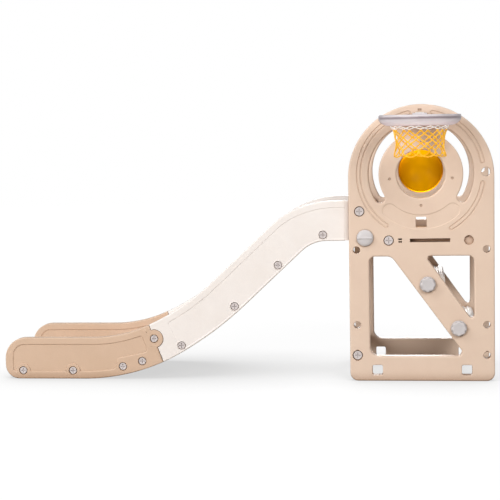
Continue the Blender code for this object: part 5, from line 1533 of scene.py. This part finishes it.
def upper_rail_mesh():
    """Upper rail with its field, cut off at the head, the joint and the tab, plus collar and tongue."""
    _, outline = rail_parts()
    longer = [(x + HEAD_SPARE if x > HEAD_END_X - GAP else x, z) for x, z in outline]
    mesh = fielded_plate(longer, upper_field_loop(), UPPER_FIELD_DEPTH)
    spare = rectangle(HEAD_END_X, HEAD_END_X + 2 * HEAD_SPARE, 0.0, TOWER_HEIGHT)
    low, high = joint_line()
    slot = [low, high, (high[0] + JOINT_SHADOW, high[1]), (low[0] + JOINT_SHADOW, low[1])]
    ends = [straight(loop, 0.0, INNER_Y + RAIL_INNER_Y) for loop in (spare, stretched(slot, GAP))]
    mesh = cut(mesh, lofts_mesh(ends))
    heights = [z for x, z in outline if x > HEAD_END_X - GAP]
    collar = rectangle(
        HEAD_END_X - COLLAR_OVERLAP,
        -HALF_LENGTH - COLLAR_GAP,
        min(heights) + COLLAR_INSET,
        max(heights) - COLLAR_INSET,
        SMALL_CORNER_RADIUS / 4,
    )
    collar_y = RAIL_SETBACK + COLLAR_INSET, RAIL_INNER_Y - COLLAR_INSET
    mesh = join(
        mesh,
        plate_mesh([collar], *collar_y, FINE_EDGE, 2),
        plate_mesh([tongue_loop()], INNER_Y + GAP, RAIL_INNER_Y, PLAIN_EDGE, 2),
    )
    centre = joint_tab_centre()
    notch = circle(centre, JOINT_TAB_RADIUS + JOINT_SHADOW, 64)
    start = RAIL_SETBACK - CUT_MARGIN
    notch = straight(notch, start, RAIL_SETBACK + JOINT_TAB_THICKNESS + GAP)
    spots = upper_screw_spots()
    bores = [straight(loop, start, RAIL_INNER_Y + CUT_MARGIN) for loop in (
        circle(centre, RAIL_SCREW_SHANK_RADIUS + GAP),
        circle((TONGUE_SCREW_X, TONGUE_SCREW_Z), PANEL_SCREW_SHANK_RADIUS + GAP),
        lock_slot_loop(),
    )]
    mesh = join(mesh, lands_mesh(spots, RAIL_SCREW_HEAD_RADIUS + UPPER_FIELD_LAND))
    return shaved(cut(mesh, lofts_mesh([notch]), lofts_mesh(bores), screw_seats(spots)))


def lower_bed_mesh():
    low_line, high_line = bed_lines()
    low_x, high_x = bed_joint_x()
    foot_x = FOOT_END_X - FOOT_RUN + BED_FOOT_SETBACK
    front = rounded([
        (high_line[1][0], high_line[1][1], 0.0),
        (foot_x, high_line[0][1], BED_NOSE_RADIUS),
        (foot_x, low_line[0][1], BED_NOSE_LOW_RADIUS),
        (low_line[1][0], low_line[1][1], 0.0),
    ])
    outline = front[:-1] + before_x(low_line[1:], low_x)
    outline += list(reversed(before_x(high_line[1:], high_x)[1:]))
    y0, y1 = bed_span()
    return plate_mesh([outline], y0, y1, SMALL_EDGE, 2)


def upper_bed_mesh():
    low_line, high_line = bed_lines()
    low_x, high_x = bed_joint_x()
    low_z = RAIL_HEAD_Z + BED_LIFT
    high_z = low_z + BED_THICKNESS
    lip_x = DECK_FRONT_X + LIP_REACH
    lip_z = DECK_TOP_Z + GAP
    rib_back = DECK_GROOVE_X - HOOK_RIB_WIDTH / 2
    rib_front = DECK_GROOVE_X + HOOK_RIB_WIDTH / 2
    outline = after_x(low_line, low_x + 2 * GAP)[:-1]
    outline += rounded([
        (HEAD_END_X, low_z, 0.0),
        (DECK_FRONT_X - 2 * PANEL_EDGE_RADIUS, low_z, SLOT_CORNER_RADIUS),
        (DECK_FRONT_X - PANEL_EDGE_RADIUS, lip_z, 0.0),
        (rib_back, lip_z, 0.0),
        (rib_back, lip_z - HOOK_RIB_DROP, 0.0),
        (rib_front, lip_z - HOOK_RIB_DROP, 0.0),
        (rib_front, lip_z, 0.0),
        (lip_x, lip_z, SLOT_CORNER_RADIUS),
        (lip_x, high_z, LIP_RADIUS),
        (HEAD_END_X, high_z, 0.0),
    ])
    outline += list(reversed(after_x(high_line, high_x + 2 * GAP)[:-1]))
    y0, y1 = bed_span()
    mesh = plate_mesh([outline], y0, y1, FINE_EDGE, 1)
    inside = -HALF_LENGTH + PANEL_EDGE_RADIUS
    side_cut = rectangle(inside, lip_x + CUT_OVER, low_z - CUT_OVER, high_z + CUT_OVER, 0.004)
    far_y = TOWER_WIDTH - INNER_Y
    waist = [
        straight(side_cut, INNER_Y, INNER_Y + NECK_INSET),
        straight(side_cut, far_y - NECK_INSET, far_y),
    ]
    return cut(mesh, lofts_mesh(waist))


# Screws and lock knobs

def screw_mesh(head_radius, head, shank_radius, length):
    """Cross-slotted screw with a rolled rim; y = 0 on the outer face of its head."""
    rim = head_radius * 0.12
    show = head_radius * 0.95
    mesh = turned_mesh([
        (show * 0.30, head * 0.10),
        (show * 0.80, head * 0.04),
        (show - rim, 0.0),
        (show - rim * 0.45, rim * 0.12),
        (show - rim * 0.10, rim * 0.55),
        (show, rim),
        (head_radius - 0.0002, head),
        (shank_radius, head),
        (shank_radius, head + length - shank_radius * 0.5),
        (shank_radius * 0.6, head + length),
    ], 40)
    reach = head_radius * SCREW_SLOT_SHARE
    half = SCREW_SLOT_WIDTH * 0.6 * head_radius / RAIL_SCREW_HEAD_RADIUS
    plus = [
        (reach, -half), (reach, half), (half, half), (half, reach),
        (-half, reach), (-half, half), (-reach, half), (-reach, -half),
        (-half, -half), (-half, -reach), (half, -reach), (half, -half),
    ]
    depth = min(SCREW_SLOT_DEPTH * 1.6, head * 0.7)
    floor = stretched(plus, -half * 0.4)
    return cut(mesh, lofts_mesh([[(plus, -CUT_MARGIN), (plus, depth * 0.6), (floor, depth)]]))


def panel_screw_mesh(length):
    return screw_mesh(PANEL_SCREW_HEAD_RADIUS, PANEL_SCREW_HEAD, PANEL_SCREW_SHANK_RADIUS, length)


def rail_screw_mesh(length):
    return screw_mesh(RAIL_SCREW_HEAD_RADIUS, RAIL_SCREW_HEAD, RAIL_SCREW_SHANK_RADIUS, length)


def screw_piece(node, blank, place, y, look, body="frame", far=False):
    mesh = moved(blank.copy(), place[0], y, place[1])
    add_piece(node, at_side(mesh, far), look, body)


def lock_knob_mesh():
    """Domed knob with a rolled rim and a finger ridge, on its stepped shaft."""
    neck_end = LOCK_BAR_Y - GAP
    rim = 0.0022
    profile = [(0.0008, -KNOB_HEIGHT)]
    for i in range(1, 15):
        turn = math.pi / 2 * i / 14
        drop = (KNOB_HEIGHT - rim) * math.cos(turn) ** 0.75
        profile.append((KNOB_RADIUS * math.sin(turn) ** 0.9, -rim - drop))
    profile += [
        (KNOB_RADIUS, -0.0012),
        (KNOB_RADIUS - 0.0006, -GAP),
        (LOCK_SHAFT_RADIUS, -GAP),
        (LOCK_SHAFT_RADIUS, INNER_Y),
        (LOCK_NECK_RADIUS, INNER_Y),
        (LOCK_NECK_RADIUS, neck_end),
        (LOCK_BAR_BORE_RADIUS, neck_end),
        (LOCK_BAR_BORE_RADIUS, LOCK_BAR_Y + LOCK_BAR_THICKNESS),
    ]
    rounding = KNOB_RIDGE_WIDTH / 2 * END_ROUNDING
    ridge = box((0.0, 0.0), 2 * KNOB_RIDGE_REACH, KNOB_RIDGE_WIDTH, rounding)
    crest = KNOB_HEIGHT + 0.0012
    blade = [
        (stretched(ridge, 0.0020), -KNOB_HEIGHT * KNOB_RIM_SHARE),
        (stretched(ridge, 0.0006), -KNOB_HEIGHT),
        (stretched(ridge, -0.0008), -crest + 0.0008),
        (stretched(ridge, -0.0020), -crest + 0.0002),
        (stretched(ridge, -0.0032), -crest),
    ]
    return moved(join(turned_mesh(profile, 72), lofts_mesh([blade])), LOCK_X, 0.0, LOCK_Z)


def lock_bar_mesh():
    rounding = LOCK_BAR_WIDTH / 2 * END_ROUNDING
    outline = box((0.0, 0.0), LOCK_BAR_WIDTH, 2 * LOCK_BAR_HALF_LENGTH, rounding)
    bore = circle((0.0, 0.0), LOCK_BAR_BORE_RADIUS + GAP)
    mesh = plate_mesh([outline, bore], LOCK_BAR_Y, LOCK_BAR_Y + LOCK_BAR_THICKNESS, THIN_EDGE, 2)
    return moved(mesh, LOCK_X, 0.0, LOCK_Z)


# Hoop and net

def eased(profile, rounds=2):
    """Closed profile with its corners cut back, each round halving the steps."""
    for _ in range(rounds):
        finer = []
        for a, b in zip(profile, profile[1:] + profile[:1]):
            finer.append((a[0] * 0.78 + b[0] * 0.22, a[1] * 0.78 + b[1] * 0.22))
            finer.append((a[0] * 0.22 + b[0] * 0.78, a[1] * 0.22 + b[1] * 0.78))
        profile = finer
    return profile


def hoop_ring_mesh():
    """Dished ring with the block that its hook is screwed to and a small boss in front."""
    mesh = turned_mesh(eased(hoop_profile()), HOOP_STEPS, closed=True)
    mesh.transform(Matrix.Translation((HOOP_X, HOOP_Y, 0.0)) @ Matrix.Rotation(math.pi / 2, 4, "X"))
    back_y = -2 * GAP - HOOK_PLATE_THICKNESS
    front_y = -HOOP_STANDOFF - HOOP_BLOCK_REACH
    block = box((HOOP_X, HOOP_SCREW_Z), HOOP_BLOCK_WIDTH, HOOP_BLOCK_HEIGHT, 0.002)
    centre = (HOOP_X, HOOP_SCREW_Z + HOOP_BOSS_LIFT)
    boss = circle(centre, HOOP_BOSS_RADIUS)
    front = HOOP_Y - HOOP_RADIUS
    end = front - HOOP_BOSS_HEIGHT
    mesh = join(
        mesh,
        plate_mesh([block], front_y, back_y, SMALL_EDGE, 2),
        plate_mesh([boss], end, front + HOOP_WALL * 0.8, FINE_EDGE, 2),
    )
    bore = circle((HOOP_X, HOOP_SCREW_Z), HOOP_SCREW_RADIUS + GAP)
    dimple = circle(centre, HOOP_BOSS_RADIUS * 0.55)
    return cut(mesh, lofts_mesh([
        straight(bore, front_y - CUT_OVER, 0.0),
        straight(dimple, end - CUT_MARGIN, end + 0.0008),
    ]))


def hoop_hook_mesh():
    half = HOOK_PLATE_WIDTH / 2
    low = HOOK_TOP_Z - HOOK_PLATE_HEIGHT
    plate = rectangle(HOOP_X - half, HOOP_X + half, low, HOOK_TOP_Z, SLOT_CORNER_RADIUS)
    mesh = plate_mesh([plate], -GAP - HOOK_PLATE_THICKNESS, -GAP, FINE_EDGE, 2)
    left, right = HOOP_X - HOOK_TAB_WIDTH / 2, HOOP_X + HOOK_TAB_WIDTH / 2
    tab_low = HOOK_TOP_Z - HOOK_TAB_HEIGHT
    lip_y = INNER_Y + GAP
    tab_end = lip_y + HOOK_LIP_THICKNESS / 2
    tab = rectangle(left, right, tab_low, HOOK_TOP_Z - GAP)
    lip = rectangle(left, right, tab_low - HOOK_LIP_DROP, HOOK_TOP_Z - 2 * GAP)
    mesh = join(
        mesh,
        lofts_mesh([straight(tab, -HOOK_PLATE_THICKNESS / 2, tab_end)]),
        plate_mesh([lip], lip_y, lip_y + HOOK_LIP_THICKNESS, FINE_EDGE, 2),
    )
    bore = circle((HOOP_X, HOOP_SCREW_Z), HOOP_SCREW_RADIUS + GAP)
    return cut(mesh, lofts_mesh([straight(bore, -HOOK_PLATE_THICKNESS - CUT_OVER, 0.0)]))


def tube_mesh(paths, radius, sides=8):
    """Round tubes along paths, each (points, closed)."""
    data = bpy.data.curves.new("tubes", "CURVE")
    data.dimensions = "3D"
    data.bevel_depth = radius
    data.bevel_resolution = sides // 2 - 2
    data.use_fill_caps = True
    for points, closed in paths:
        add_spline(data, points, closed)
    return baked(placed("tubes", data))


def net_knots():
    """Knot places row by row, top row first."""
    rows = []
    top_z = HOOP_TOP_Z - NET_TOP_DROP
    for row, drop in enumerate((0.0,) + NET_ROW_DROPS):
        knots = []
        for i in range(NET_LOOPS):
            turn = NET_TURN + 360.0 * (i + 0.5 * (row % 2)) / NET_LOOPS
            x, y = polar(net_radius(drop), turn - 90.0, (HOOP_X, HOOP_Y))
            knots.append(Vector((x, y, top_z - drop)))
        rows.append(knots)
    return rows


def outward(spot):
    """Level direction from the hoop's axis to a point."""
    return Vector((spot.x - HOOP_X, spot.y - HOOP_Y, 0.0)).normalized()


def two_plies(line, ways, ply, turns):
    """Two plies twisted round a line; ways holds (along, out) for each of its points."""
    paths = []
    for phase in (0.0, math.pi):
        points = []
        for i, (middle, (along, out)) in enumerate(zip(line, ways)):
            side = along.cross(out).normalized()
            front = side.cross(along)
            turn = phase + turns * 2 * math.pi * i / (len(line) - 1)
            points.append(middle + (front * math.cos(turn) + side * math.sin(turn)) * ply)
        paths.append((points, False))
    return paths


def strand_paths(start, end, ply):
    """Plies of a slightly slack strand from one knot to the next."""
    line = []
    for i in range(STRAND_STEPS + 1):
        middle = start.lerp(end, i / STRAND_STEPS)
        middle.z -= STRAND_SAG * math.sin(math.pi * i / STRAND_STEPS)
        line.append(middle)
    way = (end - start).normalized(), outward((start + end) / 2)
    return two_plies(line, [way] * len(line), ply, STRAND_TURNS)


def hem_paths(start, end, low, ply):
    """Plies of the loop that hangs from one knot to the next with its lowest point at the hem."""
    line = hem_line(start, end, low)
    last = len(line) - 1
    ways = [
        ((line[min(i + 1, last)] - line[max(i - 1, 0)]).normalized(), outward(middle))
        for i, middle in enumerate(line)
    ]
    return two_plies(line, ways, ply, HEM_TURNS)


def knot_path(centre, radius):
    """Cord wound round a crossing, standing on a level axis that points outwards."""
    out = outward(centre)
    side = Vector((-out.y, out.x, 0.0))
    points = []
    for i in range(KNOT_STEPS + 1):
        turn = 2 * math.pi * KNOT_TURNS * i / KNOT_STEPS
        rise = Vector((0.0, 0.0, (i / KNOT_STEPS - 0.5) * radius * 1.3))
        across = out * (math.sin(turn) * radius * 0.8) + side * (math.cos(turn) * radius)
        points.append(centre + across + rise)
    return points, False


def hem_line(start, end, low):
    """Rounded loop of cord that hangs from one knot down to the hem and up to the next."""
    hang = low - start.lerp(end, 0.5)
    points = []
    for i in range(HEM_STEPS + 1):
        turn = math.pi * i / HEM_STEPS
        points.append(start.lerp(end, 0.5 - 0.5 * math.cos(turn)) + hang * math.sin(turn) ** 0.8)
    return points


def net_mesh():
    """Knotted net of two-ply cord, a wound knot at every crossing and rounded loops at its hem."""
    rows = net_knots()
    ply = NET_CORD * PLY_SHARE
    paths = []
    for row in range(len(rows) - 2):
        ahead = row % 2
        for i in range(NET_LOOPS):
            for j in ((i - 1 + ahead) % NET_LOOPS, (i + ahead) % NET_LOOPS):
                paths += strand_paths(rows[row][i], rows[row + 1][j], ply)
    ahead = (len(rows) - 2) % 2
    for i in range(NET_LOOPS):
        start, end = rows[-2][i], rows[-2][(i + 1) % NET_LOOPS]
        low = rows[-1][(i + ahead) % NET_LOOPS]
        paths += hem_paths(start, end, low, ply)
    knots = [knot_path(spot, NET_CORD * KNOT_SHARE) for row in rows[:-1] for spot in row]
    return merged([tube_mesh(paths, ply * PLY_FILL, 6), tube_mesh(knots, ply * 1.2, 6)])


def tie_mesh():
    """Lacing that zigzags from the hoop's underside down to the net's top knots."""
    low_z = HOOP_TOP_Z - NET_TOP_DROP + NET_CORD / 2 + TIE_RADIUS + GAP
    high_z = HOOP_TOP_Z - HOOP_DEPTH - TIE_RADIUS - GAP
    count = TIE_STEPS * NET_LOOPS
    points = []
    for i in range(count):
        swing = 1.0 - abs((i % TIE_STEPS) / (TIE_STEPS / 2) - 1.0)
        share = 1.0 - swing * 0.75 - (0.5 - 0.5 * math.cos(math.pi * swing)) * 0.25
        radius = TIE_PEAK_RADIUS + (NET_TOP_RADIUS - TIE_PEAK_RADIUS) * share
        turn = NET_TURN + 360.0 * i / count
        x, y = polar(radius, turn - 90.0, (HOOP_X, HOOP_Y))
        points.append(Vector((x, y, high_z + (low_z - high_z) * share)))
    return tube_mesh([(points, True)], TIE_RADIUS * PLY_FILL)


# Bubble window

def bubble_mesh():
    """Clear dome bulging out through the far panel's porthole, with a rounded flange."""
    mouth = PORTHOLE_RADIUS - GAP
    sphere = (mouth ** 2 + BUBBLE_DEPTH ** 2) / (2 * BUBBLE_DEPTH)
    sweep = math.asin(mouth / sphere)
    outside = []
    inside = []
    for i in range(DOME_STEPS + 1):
        turn = sweep * (BUBBLE_CROWN_SHARE + (1 - BUBBLE_CROWN_SHARE) * i / DOME_STEPS)
        rise = BUBBLE_FLANGE + sphere * (math.cos(turn) - math.cos(sweep))
        outside.append((sphere * math.sin(turn), rise))
        inside.append(((sphere - BUBBLE_WALL) * math.sin(turn), rise - BUBBLE_WALL))
    edge = BUBBLE_FLANGE_RADIUS
    flange = [
        (mouth - BUBBLE_WALL, -BUBBLE_PLUG_DEPTH),
        (mouth, -BUBBLE_PLUG_DEPTH),
        (mouth, GAP),
        (edge - 0.0008, GAP),
        (edge, GAP + 0.0008),
        (edge, BUBBLE_FLANGE - 0.0012),
        (edge - 0.0004, BUBBLE_FLANGE - 0.0004),
        (edge - 0.0015, BUBBLE_FLANGE),
    ]
    mesh = turned_mesh(inside[:-1] + flange + list(reversed(outside)), PORTHOLE_STEPS)
    y0, y1 = TOWER_WIDTH - CUT_OVER, TOWER_WIDTH + BUBBLE_FLANGE + CUT_OVER
    holes = [
        straight(circle(place, BUBBLE_SCREW_SHANK_RADIUS + GAP), y0, y1)
        for place in bubble_screw_places()
    ]
    return cut(moved(mesh, 0.0, TOWER_WIDTH, RING_Z), lofts_mesh(holes))


# Assembly

def dress_tower(beige, grey, steel, pale):
    for far, end in SIDES:
        add_piece("side_panel_" + end, at_side(side_panel_mesh(far), far), beige)
    add_piece("deck", deck_mesh(), beige)
    add_piece("cross_bar", cross_bar_mesh(), beige)
    for label, place in zip(("upper", "lower"), tread_places()):
        add_piece("tread_" + label, tread_mesh(place), pale)
        nut = nut_mesh(place)
        for far, end in SIDES:
            add_piece("tread_nut_%s_%s" % (label, end), at_side(nut, far), grey)
    panel_screw = panel_screw_mesh(PANEL_SCREW_LENGTH)
    reach = RAIL_INNER_Y - SCREW_RECESS - PANEL_SCREW_HEAD - TONGUE_SCREW_SHORT
    names = ("tongue_screw_", "deck_screw_", "cross_bar_screw_")
    blanks = (panel_screw_mesh(reach), panel_screw, panel_screw)
    knob, bar = lock_knob_mesh(), lock_bar_mesh()
    for far, end in SIDES:
        for name, blank, place in zip(names, blanks, panel_screw_places()):
            screw_piece(name + end, blank, place, SCREW_RECESS, steel, far=far)
        for name, mesh in (("lock_knob_", knob), ("lock_bar_", bar)):
            add_piece(name + end, at_side(mesh, far), grey, "lock_" + end)


def dress_slide(sand, white, grey):
    add_piece("lower_bed", lower_bed_mesh(), sand)
    add_piece("upper_bed", upper_bed_mesh(), white)
    long_screw = rail_screw_mesh(RAIL_SCREW_LENGTH)
    tab_screw = rail_screw_mesh(RAIL_THICKNESS - RAIL_SCREW_HEAD - 2 * SCREW_RECESS)
    head_y = RAIL_SETBACK + SCREW_RECESS
    rails = ("lower_rail_", lower_rail_mesh(), sand), ("upper_rail_", upper_rail_mesh(), white)
    screws = ("lower_rail_screw_", lower_screw_spots()), ("upper_rail_screw_", upper_screw_spots())
    for far, end in SIDES:
        for name, mesh, look in rails:
            add_piece(name + end, at_side(mesh, far), look)
        for name, spots in screws:
            for number, spot in enumerate(spots, 1):
                screw_piece("%s%s_%d" % (name, end, number), long_screw, spot, head_y, grey, far=far)
        screw_piece("joint_screw_" + end, tab_screw, joint_tab_centre(), head_y, grey, far=far)


def dress_hoop(clear, cord, yellow, grey):
    add_piece("hoop_ring", hoop_ring_mesh(), clear, "hoop")
    add_piece("hoop_hook", hoop_hook_mesh(), clear, "hoop")
    length = HOOP_STANDOFF + HOOP_BLOCK_REACH - HOOK_PLATE_THICKNESS / 2
    small = screw_mesh(HOOP_SCREW_HEAD_RADIUS, HOOP_SCREW_HEAD, HOOP_SCREW_RADIUS, length)
    head_y = -HOOP_STANDOFF - HOOP_BLOCK_REACH - HOOP_SCREW_HEAD - GAP
    screw_piece("hoop_screw", small, (HOOP_X, HOOP_SCREW_Z), head_y, grey, "hoop")
    add_piece("hoop_net", net_mesh(), yellow, "hoop")
    add_piece("net_tie", tie_mesh(), cord, "hoop")


def dress_window(amber, grey):
    add_piece("bubble_window", bubble_mesh(), amber)
    sizes = BUBBLE_SCREW_HEAD_RADIUS, BUBBLE_SCREW_HEAD, BUBBLE_SCREW_SHANK_RADIUS, PILOT_DEPTH
    small = screw_mesh(*sizes)
    head_y = -BUBBLE_FLANGE - BUBBLE_SCREW_HEAD - GAP
    for number, place in enumerate(bubble_screw_places(), 1):
        screw_piece("window_screw_%d" % number, small, place, head_y, grey, far=True)


def main():
    bpy.context.scene.view_settings.view_transform = "Standard"
    add_camera()
    add_world()
    add_floor()
    for lamp in LAMPS:
        add_lamp(*lamp)
    looks = {name: (plastic(name + "_moulded", *tones), slot) for name, slot, *tones in PLASTICS}
    grey, steel = looks["grey"], looks["steel_grey"]
    # Hoop: painted shade at its grazing edges and in a band under its top, and a painted glow in its
    # lower part.
    clear = see_through(
        "clear_frosted", (238, 233, 236), (230, 225, 229), (164, 150, 157), 0.36, 0.35, 1.46,
        painted_shade_band=HOOP_TOP_Z - 0.0107, painted_glow_span=(HOOP_TOP_Z - 0.034, HOOP_TOP_Z - 0.014, 0.36),
    )
    # Amber dome: painted shade at its grazing edges and towards its left and right sides.
    amber = see_through(
        "amber_clear", (200, 138, 0), (194, 132, 0), (160, 94, 2), 0.4, 0.85, 1.1, side=TOWER_X
    )
    # Both braids carry a painted glow, their last argument.
    yellow = fibre("yellow_braid", (255, 202, 14), (236, 160, 0), (255, 222, 92), 0.30)
    cord = fibre("white_braid", (250, 247, 243), (236, 230, 224), (255, 254, 252), 0.35)
    dress_tower(looks["beige"], grey, steel, looks["pale_grey"])
    dress_slide(looks["sand"], looks["white"], steel)
    dress_hoop((clear, "clear_plastic"), (cord, "white_cord"), (yellow, "yellow_cord"), steel)
    dress_window((amber, "amber_plastic"), steel)


main()
